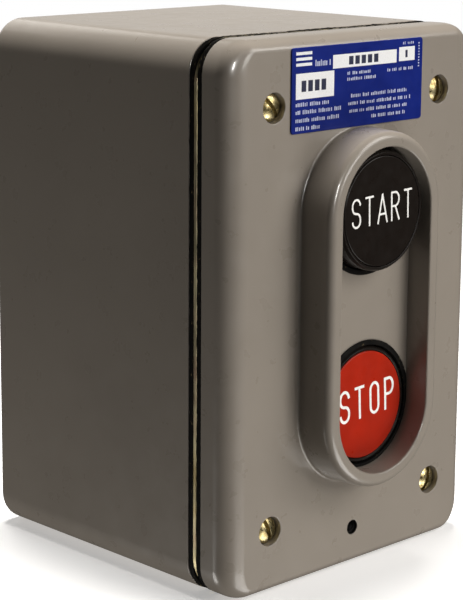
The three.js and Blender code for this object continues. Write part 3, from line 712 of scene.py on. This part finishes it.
def enclosure_casting():
    made = Solid()
    back_edge = soften([(RELIEF_RIM, 0, 0), (0, 0, BACK_EDGE_R), (0, MOUTH / 2, 0)])
    front_edge = soften([(0, MOUTH / 2, 0), (0, MOUTH, LAND_EDGE_R), (SEAL_LAND, MOUTH, 0)], steps=4)
    profile = back_edge[1:-1] + front_edge[1:-1]
    rings = [made.ring(casting_outline(inset, inset), y) for inset, y in profile]

    # The bottom side, a flat quad of each band, is pierced by the conduit entry in the widest band.
    bottom = 3 * len(rings[0]) // 4 - 1
    widest = len(back_edge) - 3
    made.skin(*rings[: widest + 1])
    made.skin(*rings[widest:widest + 2], skip=(bottom,))
    made.skin(*rings[widest + 1:])
    one, two = rings[widest], rings[widest + 1]
    outer_bottom = [one[bottom], one[bottom + 1], two[bottom + 1], two[bottom]]

    # The mouth: a flat land with four tapped holes, and lobes that end a little below them.
    half_x = HALF_W - BODY_WALL
    half_z = HALF_H - BODY_WALL
    outline = lobed(half_x, half_z)
    lip = made.ring(outline, MOUTH)
    depths = span(MOUTH, MOUTH + LOBE_DEPTH - 3, SCREW_HOLE_STEP)
    holes = [made.straight(circle(SCREW_HOLE_R, x, z), *depths, closed=True) for x, z in SCREW_SPOTS]
    made.plate(rings[-1], lip, *[hole[0] for hole in holes])
    step_y = MOUTH + LOBE_DEPTH
    step = made.ring(outline, step_y)
    lip_bottom = 3 * len(lip) // 4 - 1
    made.skin(lip, step, skip=(lip_bottom,))
    full = []
    per_lobe = len(step) // 4
    fill_r = CORNER_R - BODY_WALL
    for quarter, (sx, sz) in enumerate(SIGNS):
        lobe = step[quarter * per_lobe:(quarter + 1) * per_lobe]
        start = quarter * math.pi / 2
        corner = arc(sx * (half_x - fill_r), sz * (half_z - fill_r), fill_r, start, start + math.pi / 2, 8)
        inner = made.ring(corner, step_y)
        made.plate(lobe + inner[::-1])
        full += [lobe[0], *inner, lobe[-1]]

    # The walls below the lobes, with the inner bottom side left open for the conduit hub.
    floor_profile = soften([(0, -20, 0), (0, -BACK_WALL, 1.5), (10, -BACK_WALL, 0)], steps=5)[1:-1]
    full_outline = [made.points[i][::2] for i in full]
    inner = made.wall(floor_profile, lambda inset: drawn_in(full_outline, inset))
    side = 3 * len(full) // 4 - 1
    made.skin(full, inner[0], skip=(side,))
    inner_bottom = [lip[lip_bottom], lip[lip_bottom + 1], full[side + 1]]
    inner_bottom += [inner[0][side + 1], inner[0][side], full[side]]
    conduit_entry(made, outer_bottom, inner_bottom)
    enclosure_back(made, rings[0], inner[-1])
    thing = shaded(made.made("enclosure_casting", ENAMEL))
    place(thing, "enclosure", "enclosure_body")


# ---------- cover casting
def darken_blind_hole(thing):
    """Painted shade: the tapped hole's wall gets a near-black, dull material that stands in for the shade
    deep inside the hole.
    """
    thing.data.materials.append(HOLE_SHADE)
    for face in thing.data.polygons:
        x, y, z = face.center / MM
        inside = FACE + 0.3 < y < FACE + BLIND_HOLE_DEPTH + 0.1
        if inside and math.hypot(x, z - BLIND_HOLE_Z) < BLIND_HOLE_R + 0.4:
            face.material_index = 1


def cover_outside(made):
    """A small back edge, straight sides, and a quarter ellipse round the front."""
    back = soften([(SEAL_LAND, COVER_BACK, 0), (0, COVER_BACK, LAND_EDGE_R), (0, FACE, 0)], steps=4)[1:-1]
    rings = [made.ring(casting_outline(inset, inset), y) for inset, y in back]
    steps = 14
    for i in range(steps + 1):
        angle = i / steps * math.pi / 2
        inset = 1 - math.cos(angle)
        y = FACE + COVER_EDGE_DEPTH * (1 - math.sin(angle))
        rings.append(made.ring(casting_outline(COVER_EDGE_SIDE * inset, COVER_EDGE_TOP * inset), y))
    made.skin(*rings)
    return rings


def cover_casting():
    made = Solid()
    rings = cover_outside(made)

    # The guard ring: a fillet at its foot, a drafted wall, a round rim, and the wall of the opening.
    outside = soften(
        [(GUARD_R + 3, FACE, 0), (GUARD_R, FACE, GUARD_FILLET), (GUARD_R - GUARD_DRAFT, RIM, GUARD_EDGE_R),
         (OPENING_R, RIM, 0)], steps=10)[1:-1]
    guard = made.wall(outside, lambda radius: stadium(radius, GUARD_HALF))
    inside = soften(
        [(OPENING_R + 2, RIM, 0), (OPENING_R, RIM, OPENING_EDGE_R), (OPENING_R, FLOOR, 0)], steps=5)
    opening = made.wall(inside[1:], lambda radius: stadium(radius, OPENING_HALF))
    made.skin(guard[-1], opening[0])

    # The face between them, with the counterbores and one small blind hole.
    seat = soften(
        [(COUNTERBORE_R + 2, FACE, 0), (COUNTERBORE_R, FACE, 0.2), (COUNTERBORE_R, COUNTERBORE_SEAT, 0),
         (SCREW_HOLE_R, COUNTERBORE_SEAT, 0), (SCREW_HOLE_R, COVER_BACK, 0)], steps=3)[1:]
    screw_walls = [made.wall(seat, circles(x, z, 48)) for x, z in SCREW_SPOTS]
    bottom = FACE + BLIND_HOLE_DEPTH
    blind = soften(
        [(BLIND_HOLE_R + 2, FACE, 0), (BLIND_HOLE_R, FACE, 0.15), (BLIND_HOLE_R, bottom, 0)], steps=3)
    blind = blind[1:-1] + [(BLIND_HOLE_R, y) for y in span(FACE + 0.3, bottom, 0.15 * BLIND_HOLE_PITCH)]
    blind_wall = made.wall(blind, circles(0, BLIND_HOLE_Z), closed=True)
    made.plate(rings[-1], guard[0], *[wall[0] for wall in screw_walls], blind_wall[0])
    thread(made, BLIND_HOLE_R, 0.3, BLIND_HOLE_PITCH, FACE + 0.35, bottom - 0.2, 0, BLIND_HOLE_Z)

    # The recess floor and the two bores through it.
    bore = [(BORE_R + 0.1, FLOOR), (BORE_R, FLOOR + 0.1), (BORE_R, COVER_INSIDE)]
    bores = [made.wall(bore, circles(0, z, ROUND)) for z in (BUTTON_Z, -BUTTON_Z)]
    made.plate(opening[-1], *[bore[0] for bore in bores])

    # The back: a sealing land with lobes round the screws, and the pocket behind the face.
    lip, pocket = made.straight(
        lobed(HALF_W - COVER_SIDE_WALL, HALF_H - COVER_SIDE_WALL), COVER_BACK, COVER_INSIDE)
    made.plate(rings[0], lip, *[wall[-1] for wall in screw_walls])
    boss = soften(
        [(7, COVER_INSIDE, 0), (4, COVER_INSIDE, 0.8), (3.8, COVER_BACK, 0.3), (0, COVER_BACK, 0)], steps=3)
    boss = made.wall(boss[1:-1], circles(0, BLIND_HOLE_Z), closed=True)
    tapped = [
        made.straight(circle(1.6, x, 0), COVER_INSIDE, COVER_INSIDE - 4, closed=True)
        for x in (RETAINER_SCREW_X, -RETAINER_SCREW_X)
    ]
    made.plate(pocket, boss[0], *[hole[0] for hole in tapped], *[bore[-1] for bore in bores])
    thing = shaded(made.made("cover_casting", ENAMEL))
    # Paints shade onto the wall of the blind hole.
    darken_blind_hole(thing)
    place(thing, "cover", "cover")


# ---------- the joint between the castings
FRAME_FRONT, FRAME_BACK = [corner.y for corner in corners("mounting_frame")]
SEAL_INSET = 0.2
SEAL_LAYERS = 4


def seal(name, back, front, seed, node):
    """A die-cut rubber gasket whose outer edge is slightly ragged."""
    made = Solid()
    outline = dense(rounded(HALF_W - SEAL_INSET, HALF_H - SEAL_INSET, CORNER_R - SEAL_INSET), 0.9)

    def ragged(layer):
        bulge = 0.16 * math.sin(math.pi * layer / SEAL_LAYERS)
        loop = []
        for x, z in outline:
            fine = noise.noise(Vector((x * 0.8, seed + 1.7 * layer, z * 0.8)))
            coarse = noise.noise(Vector((x * 0.17, seed, z * 0.17)))
            grow = 1 + (bulge + 0.22 * (fine + 0.6 * coarse)) / math.hypot(x, z)
            loop.append((x * grow, z * grow))
        return loop

    rim = made.wall([(k, back + (front - back) * k / SEAL_LAYERS) for k in range(SEAL_LAYERS + 1)], ragged)
    inner = made.straight(lobed(HALF_W - SEAL_LAND, HALF_H - SEAL_LAND), back, front)
    made.ends(rim, inner, *[made.straight(circle(SCREW_HOLE_R, x, z), back, front) for x, z in SCREW_SPOTS])
    place(shaded(made.made(name, RUBBER), weighted=False), "enclosure", node)


def mounting_frame():
    """Thin gilt sheet steel: a ring between the gaskets with two straps for the contact block."""
    made = Solid()
    outline = rounded(HALF_W - 0.15, HALF_H - 0.15, CORNER_R + 1.6, steps=12)
    strap_z = middle("block_screw_upper").z
    strap_half = 5
    edge = 0.18
    inner_x = HALF_W - SEAL_LAND
    inner_z = HALF_H - SEAL_LAND
    reach = LOBE_R / math.sqrt(2)
    start = math.asin((strap_z + strap_half - SCREW_Z) / LOBE_R)
    lobe = arc(SCREW_X, SCREW_Z, LOBE_R, math.pi - start, math.pi * 3 / 4, 8)
    lobe += [(SCREW_X - reach - reach + (inner_z - SCREW_Z), inner_z)]
    upper = lobe + [(-x, z) for x, z in lobe[::-1]]
    openings = [rounded(inner_x, strap_z - strap_half, 2, steps=4), upper, [(x, -z) for x, z in upper]]
    openings += [circle(SCREW_HOLE_R, x, z) for x, z in SCREW_SPOTS]
    openings += [circle(1.9, 0, z, 32) for z in (strap_z, -strap_z)]
    profile = [(edge, FRAME_BACK), (0, FRAME_BACK - edge), (0, FRAME_FRONT + edge), (edge, FRAME_FRONT)]
    rim = made.wall(profile, lambda amount: drawn_in(outline, amount))
    made.ends(rim, *[made.straight(loop, FRAME_BACK, FRAME_FRONT) for loop in openings])
    place(shaded(made.made("mounting_frame_plate", GILT)), "enclosure", "mounting_frame")


# ---------- screws
SLOT_ANGLES = {"upper_left": -0.68, "upper_right": 0.09, "lower_left": -0.33, "lower_right": 0.35}
COVER_SCREW = dict(head_r=3.3, shank_r=2.2, head_t=2.5, dome=1.1, pitch=1.06, slot_w=1.1, slot_t=2.1)
BLOCK_SCREW = dict(head_r=3.2, shank_r=1.6, head_t=1.9, dome=0.8, slot_t=0.95, angle=0.4)
LID_SCREW = dict(head_r=2.3, shank_r=1.1, head_t=1.3, dome=0.6, slot_t=0.7, angle=1.1)
TERMINAL_SCREW = dict(head_r=3.3, shank_r=1.7, head_t=2.1, dome=0.8, slot_t=1.1, angle=1.4)
RETAINER_SCREW = dict(head_r=2.6, shank_r=1.3, head_t=1.4, dome=0.7, slot_t=0.75, angle=0.7, facing=1)
GROUND_SCREW = dict(head_r=4, shank_r=1.5, head_t=2.2, dome=0.8, slot_w=1, slot_t=1.2, angle=0.3)


def slotted_screw(node, ending, body, material, head_r, shank_r, head_t, dome, slot_t, slot_w=0.8, pitch=0.8,
                  angle=0.0, facing=-1):
    """A turned screw along y with a domed, slotted head and a threaded shank, as large as its CAD node."""
    low, high = corners(node)
    x, _, z = middle(node)
    tip, top = (high.y, low.y) if facing < 0 else (low.y, high.y)
    under = top - facing * head_t
    shank_ends = tip + facing * pitch * 0.6, under - facing * 0.3
    profile = [(0, tip), (shank_r - pitch * 0.6, tip)]
    profile += [(shank_r, y) for y in span(*shank_ends, pitch / 8)]
    profile += [(shank_r + 0.25, under), (head_r - 0.12, under)]
    profile += [(head_r, under + facing * 0.12), (head_r, top - facing * dome - facing * 0.1)]
    sphere = (head_r ** 2 + dome ** 2) / (2 * dome)
    for share in (0.965, 0.9, 0.8, 0.65, 0.5, 0.33, 0.16, 0):
        r = head_r * share
        profile.append((r, top - facing * (sphere - math.sqrt(sphere ** 2 - r ** 2))))
    made = Solid().turned(profile, x, z, SMALL)
    thread(made, shank_r, -0.55 * pitch, pitch, min(shank_ends) - 0.01, max(shank_ends) + 0.01, x, z)
    thing = made.made(f"{node}.{ending}", material)
    slot = Solid()
    half = slot_w / 2
    box = [(-half, -2 * head_r), (half, -2 * head_r), (half, 2 * head_r), (-half, 2 * head_r)]
    for end in slot.straight(box, top - facing * slot_t, top + facing * 2):
        slot.fill(end)
    slot.moved(Matrix.Translation((x, 0, z)) @ Matrix.Rotation(angle, 4, "Y"))
    boolean(thing, slot.made("slot_tool", material), "DIFFERENCE")
    head_low, head_high = sorted((under * MM, top * MM))

    def in_head(edge):
        return all(head_low - 1e-6 < v.co.y < head_high for v in edge.verts)

    bevelled(thing.data, 0.09, math.radians(30), in_head)
    place(shaded(thing, sharp=math.radians(50)), body, node)


def turned_piece(name, material, profile, x, z, steps, body, node):
    place(shaded(Solid().turned(profile, x, z, steps).made(name, material)), body, node)


def sealing_washer(node):
    low, high = corners(node)
    x, _, z = middle(node)
    outer = (high.x - low.x) / 2
    hole = 2.4
    profile = soften(
        [(hole, high.y, 0.1), (outer, high.y, 0.2), (outer, low.y, 0.2), (hole, low.y, 0.1)], True, 3)
    turned_piece(f"{node}.ring", RUBBER, profile, x, z, SMALL, "cover", node)


def fasteners():
    for spot, angle in SLOT_ANGLES.items():
        slotted_screw(f"cover_screw_{spot}", "gold", "cover", BRASS, angle=angle, **COVER_SCREW)
        sealing_washer(f"screw_seal_{spot}")
    for spot in ("upper", "lower"):
        slotted_screw(f"block_screw_{spot}", "turned", "enclosure", STEEL, **BLOCK_SCREW)
        slotted_screw(f"block_cover_screw_{spot}", "turned", "enclosure", STEEL, **LID_SCREW)
    for spot in TERMINALS:
        slotted_screw(f"terminal_screw_{spot}", "turned", "enclosure", STEEL, **TERMINAL_SCREW)
    for spot in ("left", "right"):
        slotted_screw(f"retainer_screw_{spot}", "turned", "cover", STEEL, **RETAINER_SCREW)
    slotted_screw("ground_screw", "turned", "enclosure", GREEN, **GROUND_SCREW)


# ---------- buttons
def button(name, material):
    """The cap with its inlaid disc and the stem behind it."""
    body = f"{name}_button"
    low, high = corners(f"{name}_cap")
    z = middle(f"{name}_cap").z
    face = low.y
    back = face + CAP_T
    disc_low, disc_high = corners(f"{name}_disc")
    disc_r = (disc_high.x - disc_low.x) / 2
    pocket = disc_r + 0.15
    cap = soften(
        [(0, face + 1.3, 0), (pocket, face + 1.3, 0), (pocket, face + 0.1, 0.1), (CAP_R - 0.5, face, 0.15),
         (CAP_R, face + 0.8, 0.5), (CAP_R, back, 0.5), (CAP_HUB_R, back, 0.4), (CAP_HUB_R, high.y, 0.3),
         (3.5, high.y, 0.2), (3.5, back - 1, 0), (0, back - 1, 0)], steps=5)
    turned_piece(f"{name}_button_cap", BLACK, cap, 0, z, ROUND, body, f"{name}_cap")
    disc = soften(
        [(0, face + 1.2, 0), (disc_r, face + 1.2, 0), (disc_r, face + 0.02, 0.3), (0, face, 0)], steps=4)
    turned_piece(f"{name}_button_disc", material, disc, 0, z, ROUND, body, f"{name}_disc")
    low, high = corners(f"{name}_stem")
    pad = high.y - 1.4
    stem = soften(
        [(0, low.y, 0), (3.2, low.y, 0.3), (3.2, pad, 0.3), (4.6, pad, 0.3), (4.6, high.y, 0.5),
         (0, high.y, 0)], steps=4)
    turned_piece(f"{name}_button_stem", NYLON, stem, 0, z, 48, body, f"{name}_stem")


# Strokes of the legends' letters, each letter in a box one unit wide and one unit high. A stroke is a list
# of points; a letter's strokes are in layers that are united one after another.
def bend(x, z, radius_x, radius_z, start, end, steps=10):
    angles = [math.radians(start + (end - start) * i / steps) for i in range(steps + 1)]
    return [(x + radius_x * math.cos(a), z + radius_z * math.sin(a)) for a in angles]


LETTERS = {
    "S": [[bend(0.5, 0.77, 0.5, 0.23, 10, 180) + bend(0.5, 0.72, 0.5, 0.22, 180, 250)
           + bend(0.5, 0.28, 0.5, 0.22, 70, 0) + bend(0.5, 0.23, 0.5, 0.23, 0, -170)]],
    "T": [[[(0, 1), (1, 1)]], [[(0.5, 1), (0.5, 0)]]],
    "A": [[[(0, 0), (0.5, 1)]], [[(1, 0), (0.5, 1)]], [[(0.18, 0.3), (0.82, 0.3)]]],
    "R": [[[(0, 0), (0, 1)]],
          [[(0, 1), (0.5, 1)] + bend(0.5, 0.75, 0.5, 0.25, 80, -80) + [(0.5, 0.5), (0, 0.5)]],
          [[(0.5, 0.5), (1, 0)]]],
    "P": [[[(0, 0), (0, 1)]],
          [[(0, 1), (0.5, 1)] + bend(0.5, 0.74, 0.5, 0.26, 80, -80) + [(0.5, 0.48), (0, 0.48)]]],
    "O": [[bend(0.5, 0.78, 0.5, 0.22, 0, 180) + bend(0.5, 0.22, 0.5, 0.22, 180, 360)]],
}
LETTER_WIDTHS = {"S": 0.40, "T": 0.36, "A": 0.48, "R": 0.39, "P": 0.38, "O": 0.38}  # shares of the height


def stroke(solid, points, width, front, back, closed=False):
    """A flat bar of even width along a line of (x, z) points, square at its ends."""
    count = len(points)
    left, right = [], []
    for i, point in enumerate(points):
        here = Vector(point)
        before = Vector(points[i - 1]) if i or closed else None
        after = Vector(points[(i + 1) % count]) if i < count - 1 or closed else None
        one = (here - before).normalized() if before is not None else (after - here).normalized()
        two = (after - here).normalized() if after is not None else one
        along = (one + two).normalized()
        side = Vector((-along.y, along.x)) / max(0.5, along.dot(one)) * width / 2
        end = Vector((0, 0))
        if before is None:
            end = -one * width / 2
        if after is None:
            end = one * width / 2
        left.append(here + side + end)
        right.append(here - side + end)
    if closed:
        solid.ends(solid.straight(left, front, back), solid.straight(right, front, back))
    else:
        solid.prism(left + right[::-1], front, back)


def legend(word, name, height, width, pitch, shift, turn):
    """A word filled white in a cap's disc: its height and stroke width, its letters' pitch, where its middle
    stands from the disc's, and its turn in degrees."""
    low, high = corners(f"{name}_disc")
    front, back = low.y - 0.03, low.y + 0.4
    layers = [Solid(), Solid(), Solid()]
    first = -(len(word) - 1) / 2 * pitch
    for i, letter in enumerate(word):
        wide = LETTER_WIDTHS[letter] * height
        left = first + i * pitch - wide / 2
        for layer, strokes in zip(layers, LETTERS[letter]):
            for line in strokes:
                placed = [(left + u * wide, (v - 0.5) * height) for u, v in line]
                stroke(layer, placed, width, front, back, closed=letter == "O")
    middle_z = (low.z + high.z) / 2 + shift[1]
    to_disc = Matrix.Translation((shift[0], 0, middle_z)) @ Matrix.Rotation(-math.radians(turn), 4, "Y")
    pieces = [layer.moved(to_disc).made(f"{name}_legend", WHITE) for layer in layers if layer.points]
    for piece in pieces[1:]:
        boolean(pieces[0], piece, "UNION")
    place(shaded(pieces[0]), f"{name}_button", slot=None)


# ---------- label
PLATE_WIDE = plate_high.x - plate_low.x
PLATE_TALL = plate_high.z - plate_low.z
PRINT_FRONT = plate_low.y - 0.015
PRINT_BACK = plate_low.y + 0.05
# White panels as (left, right, top, bottom), all in fractions of the plate from its upper left.
PANELS = [(0.30, 0.79, 0.12, 0.28), (0.81, 0.935, 0.10, 0.27), (0.03, 0.31, 0.30, 0.60)]
PANELS += [(0.03, 0.145, top, top + 0.035) for top in (0.05, 0.115, 0.18)]
# Lines of print as (top, left, right, height).
PRINT_LINES = [
    (0.155, 0.17, 0.28, 0.075), (0.035, 0.84, 0.92, 0.035),
    (0.635, 0.03, 0.27, 0.05), (0.725, 0.03, 0.36, 0.05), (0.82, 0.03, 0.36, 0.05), (0.915, 0.03, 0.2, 0.05),
    (0.33, 0.41, 0.58, 0.04), (0.40, 0.41, 0.62, 0.04), (0.34, 0.72, 0.92, 0.04),
    (0.60, 0.44, 0.88, 0.045), (0.69, 0.42, 0.90, 0.045), (0.78, 0.43, 0.88, 0.045),
    (0.87, 0.60, 0.86, 0.045),
]
# Rows of dark bars on the panels as (left, right, top, height, bars).
DARK_ROWS = [(0.42, 0.66, 0.15, 0.10, 5), (0.86, 0.885, 0.14, 0.09, 1), (0.07, 0.265, 0.385, 0.13, 4)]


def patch(solid, left, right, top, bottom, front=PRINT_FRONT, back=PRINT_BACK):
    """A thin rectangle of ink on the plate."""
    x0, x1 = plate_low.x + left * PLATE_WIDE, plate_low.x + right * PLATE_WIDE
    z0, z1 = plate_high.z - top * PLATE_TALL, plate_high.z - bottom * PLATE_TALL
    solid.prism([(x0, z1), (x1, z1), (x1, z0), (x0, z0)], front, back)


def print_line(solid, top, left, right, height, draw, bar=0.0075):
    """A line of illegible print: words of narrow bars of uneven height, from a seeded random draw."""
    lower = top + height
    at = left
    while at < right:
        for _ in range(draw.randint(2, 9)):
            tall = height * draw.uniform(0.7, 1.0)
            patch(solid, at, at + bar * draw.uniform(0.7, 1.3), lower - tall, lower)
            at += bar * 1.75
            if at > right:
                return
        at += bar * 1.6


def label():
    """A printed plate with plain panels and bars, and no word, mark or number that could be read."""
    plate = Solid()
    half_x, half_z = PLATE_WIDE / 2, PLATE_TALL / 2
    centre = middle("nameplate")
    edge = [(0, plate_high.y), (0, plate_low.y + 0.08), (0.08, plate_low.y)]
    plate.ends(plate.wall(edge, lambda i: rounded(half_x - i, half_z - i, 0.8 - i, centre.x, centre.z)))
    place(shaded(plate.made("label_plate", FOIL)), "cover", "nameplate")

    panels = Solid()
    for panel in PANELS:
        patch(panels, *panel)
    print_rows = Solid()
    draw = random.Random(7)
    for line in PRINT_LINES:
        print_line(print_rows, *line, draw)
    for row in range(9):
        patch(print_rows, 0.964, 0.974, 0.06 + row * 0.035, 0.075 + row * 0.035)
    dark = Solid()
    for left, right, top, height, count in DARK_ROWS:
        pitch = (right - left) / count
        for start in [left + i * pitch for i in range(count)]:
            patch(dark, start, start + pitch * 0.7, top, top + height, PRINT_FRONT - 0.01, PRINT_FRONT + 0.02)
    for solid, name, ink_made in (
            (panels, "label_panels", WHITE_INK), (print_rows, "label_print", PALE_INK),
            (dark, "label_dark_print", DARK_INK)):
        place(shaded(solid.made(name, ink_made), weighted=False), "cover", slot=None)


# ---------- parts inside the cover and the enclosure
def trimmed(point):
    """Moves a point of the seal's collar in to the wall of the opening, where the collar would pass it."""
    x, y, z = point
    if y > FLOOR:
        return point
    beyond = max(0, abs(z) - OPENING_HALF)
    reach = math.hypot(x, beyond)
    share = min(1, (OPENING_R - 0.08) / reach)
    return (x * share, y, z - math.copysign(beyond * (1 - share), z))


def lip_seal(name):
    """It lines the cap's bore, ends in a collar on the recess floor, and wipes the hub with two lips."""
    low, high = corners(f"{name}_seal")
    outer = (high.x - low.x) / 2
    front, back = COVER_INSIDE, COVER_INSIDE + 1.2
    foot, crown = FLOOR - 0.03, FLOOR - 0.35
    inner, lip = SLEEVE_R - 0.52, CAP_HUB_R + 0.25
    profile = soften(
        [(outer, front, 0.2), (SLEEVE_R, front, 0.1), (SLEEVE_R, foot, 0), (COLLAR_R, foot, 0),
         (COLLAR_R, crown, 0.12), (inner, crown, 0.2), (inner, front, 0.2), (13, front, 0.3),
         (8.6, front + 0.7, 0.8), (7, front + 0.2, 0.3), (lip, front + 0.2, 0.2),
         (lip + 0.25, front + 1.3, 0.3), (lip, high.y, 0.2), (7, high.y, 0.4), (8.6, high.y - 0.7, 0.8),
         (11, back + 0.25, 1.2),
         (13, back, 0.5), (outer, back, 0.2)], True, 4)
    made = Solid().turned(profile, 0, middle(f"{name}_seal").z)
    made.points = [trimmed(p) for p in made.points]
    place(shaded(made.made(f"{name}_lip_seal", RUBBER)), "cover", f"{name}_seal")


def refined(node, name, width, material, slot="its material", segments=2):
    """The CAD node's own shape with its edges rounded, as a new piece in its place."""
    mesh = frame["nodes"][node].data.copy()
    mesh.materials.clear()
    mesh.materials.append(material)
    bevelled(mesh, width, segments=segments)
    place(shaded(linked(name, mesh)), frame["nodes"][node]["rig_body"], node, slot=slot)


def contact_spring(name):
    """A fine helical spring inside a carrier's window, over the bridge."""
    node = f"{name}_contact_spring"
    low, high = corners(node)
    z = middle(node).z
    wire = 0.33
    radius = (high.x - low.x) / 2 - wire
    turns = 5
    closed_turns = 0.8
    steps = 28 * turns
    path = []
    for i in range(steps + 1):
        done = i / steps * turns
        eased = min(max((done - closed_turns) / (turns - 2 * closed_turns), 0), 1)
        flat = wire * min(done, closed_turns) / closed_turns
        angle = 2 * math.pi * done
        y = low.y + wire + flat + (high.y - low.y - 2 * wire - flat) * eased
        path.append(Vector((radius * math.cos(angle), y, z + radius * math.sin(angle))))
    thing = shaded(tube(path, wire, 10).made(f"{name}_spring_wire", STEEL), weighted=False)
    place(thing, f"{name}_carrier", node)


def contact_points(name, way):
    """Silver rivets on the bridge's ends, standing out towards the fixed contacts."""
    low, high = corners(f"{name}_bridge")
    z = middle(f"{name}_bridge").z
    y = high.y if way > 0 else low.y
    back, tip = y - way * 0.6, y + way * 0.2
    profile = soften([(0, back, 0), (1.7, back, 0), (1.7, tip, 0.12), (0, tip, 0)], steps=4)
    rivets = Solid()
    for x in (11.7, -11.7):
        rivets.added(Solid().turned(profile, x, z, 32))
    place(shaded(rivets.made(f"{name}_contact_points", SILVER)), f"{name}_carrier")


def interior():
    for name in ("start", "stop"):
        lip_seal(name)
    refined("seal_retainer", "seal_retainer_plate", 0.25, STEEL)
    refined("contact_block", "contact_block_moulding", 0.35, PHENOLIC)
    refined("contact_block_cover", "contact_block_lid", 0.35, PHENOLIC)
    for spot in TERMINALS:
        refined(f"terminal_{spot}", f"terminal_{spot}.strip", 0.18, BRASS)
    for name, way in (("start", 1), ("stop", -1)):
        refined(f"{name}_carrier", f"{name}_carrier_moulding", 0.3, NYLON)
        refined(f"{name}_bridge", f"{name}_bridge_bar", 0.2, BRASS, "contact_silver")
        contact_points(name, way)
        contact_spring(name)
    refined("rocker", "rocker_arm", 0.25, STEEL)
    refined("rocker_pin", "rocker_pivot_pin", 0.2, STEEL)
    refined("detent_leaf", "detent_leaf_spring", 0.08, STEEL, segments=1)


enclosure_casting()
cover_casting()
seal("rear_gasket_sheet", MOUTH, FRAME_BACK, 11.3, "rear_gasket")
seal("front_gasket_sheet", FRAME_FRONT, COVER_BACK, 47.9, "front_gasket")
mounting_frame()
fasteners()
button("start", BLACK)
button("stop", RED)
legend("START", "start", height=6.7, width=0.5, pitch=4.62, shift=(-0.1, 0.7), turn=1.6)
legend("STOP", "stop", height=7.6, width=0.72, pitch=5.4, shift=(1.0, 1.0), turn=2.9)
label()
interior()

# ---------- floor, lights and camera
FLOOR_HALF = 700
FLOOR_Z = -HALF_H - 0.15


def stage_floor():
    made = Solid()
    made.fill(made.loop([(sx * FLOOR_HALF, sz * FLOOR_HALF, FLOOR_Z) for sx, sz in SIGNS]))
    floor = made.made("floor", pale_floor())
    floor.visible_diffuse = False
    floor.visible_glossy = False
    floor.visible_shadow = False


def area_light(name, at, aim, size, size_y, power, diffuse=True, glossy=True):
    """A softbox at a point, aimed at another, with its size in millimetres and its power in watts."""
    lamp = bpy.data.lights.new(name, "AREA")
    lamp.shape = "RECTANGLE"
    lamp.size = size * MM
    lamp.size_y = size_y * MM
    lamp.energy = power
    lamp.color = (1.0, 0.97, 0.93)
    thing = linked(name, lamp)
    thing.location = Vector(at) * MM
    thing.rotation_euler = (Vector(aim) - Vector(at)).to_track_quat("-Z", "Y").to_euler()
    thing.visible_camera = False
    thing.visible_diffuse = diffuse
    thing.visible_glossy = glossy


def studio():
    """White behind the object for the camera, and only dim light from the room itself."""
    world = bpy.data.worlds.new("studio")
    bpy.context.scene.world = world
    world.use_nodes = True
    nodes = world.node_tree.nodes
    links = world.node_tree.links
    room = nodes["Background"]
    room.inputs["Color"].default_value = (0.95, 0.93, 0.90, 1)
    room.inputs["Strength"].default_value = 0.02
    white = nodes.new("ShaderNodeBackground")
    white.inputs["Color"].default_value = (1, 1, 1, 1)
    rays = nodes.new("ShaderNodeLightPath")
    mix = nodes.new("ShaderNodeMixShader")
    links.new(rays.outputs["Is Camera Ray"], mix.inputs["Fac"])
    links.new(room.outputs["Background"], mix.inputs[1])
    links.new(white.outputs["Background"], mix.inputs[2])
    links.new(mix.outputs["Shader"], nodes["World Output"].inputs["Surface"])
    area_light("overhead", (30, 40, 720), (0, 20, 0), 280, 180, 8.0, glossy=False)
    area_light("sparkle", (-390, -740, 300), (0, -60, 30), 40, 220, 4.6, diffuse=False)
    area_light("front", (230, -790, 180), (0, -80, 0), 280, 240, 2.0)
    area_light("right", (440, -630, 450), (0, -80, 0), 420, 400, 3.6)
    area_light("front_low", (80, -420, -330), (0, -90, -30), 300, 260, 1.4)
    area_light("left_low", (-260, 50, -250), (-45, -30, -20), 120, 160, 0.46)
    area_light("back", (700, 700, 260), (0, 0, 60), 700, 500, 0.56)
    area_light("rear", (150, 900, 520), (0, 0, 0), 700, 500, 1.8)
    area_light("glint", (-170, -780, 780), (-40, -80, 60), 60, 110, 0.25)


def camera():
    """A long lens from the front left and a little above; the shift keeps the standing edges upright."""
    data = bpy.data.cameras.new("camera")
    data.lens = 116.97
    data.sensor_width = 36
    data.shift_y = -0.1133
    data.clip_start = 0.05
    data.clip_end = 20
    thing = linked("camera", data)
    forward = Vector((0.6851, 0.7039, -0.1874)).normalized()
    roll = math.radians(0.36)
    turn = forward.to_track_quat("-Z", "Y").to_matrix() @ Matrix.Rotation(roll, 3, "Z")
    thing.rotation_euler = turn.to_euler()
    thing.location = Vector((-345.51, -397.85, 106.55)) * MM
    bpy.context.scene.camera = thing


stage_floor()
studio()
camera()
bpy.context.scene.view_settings.view_transform = "Standard"
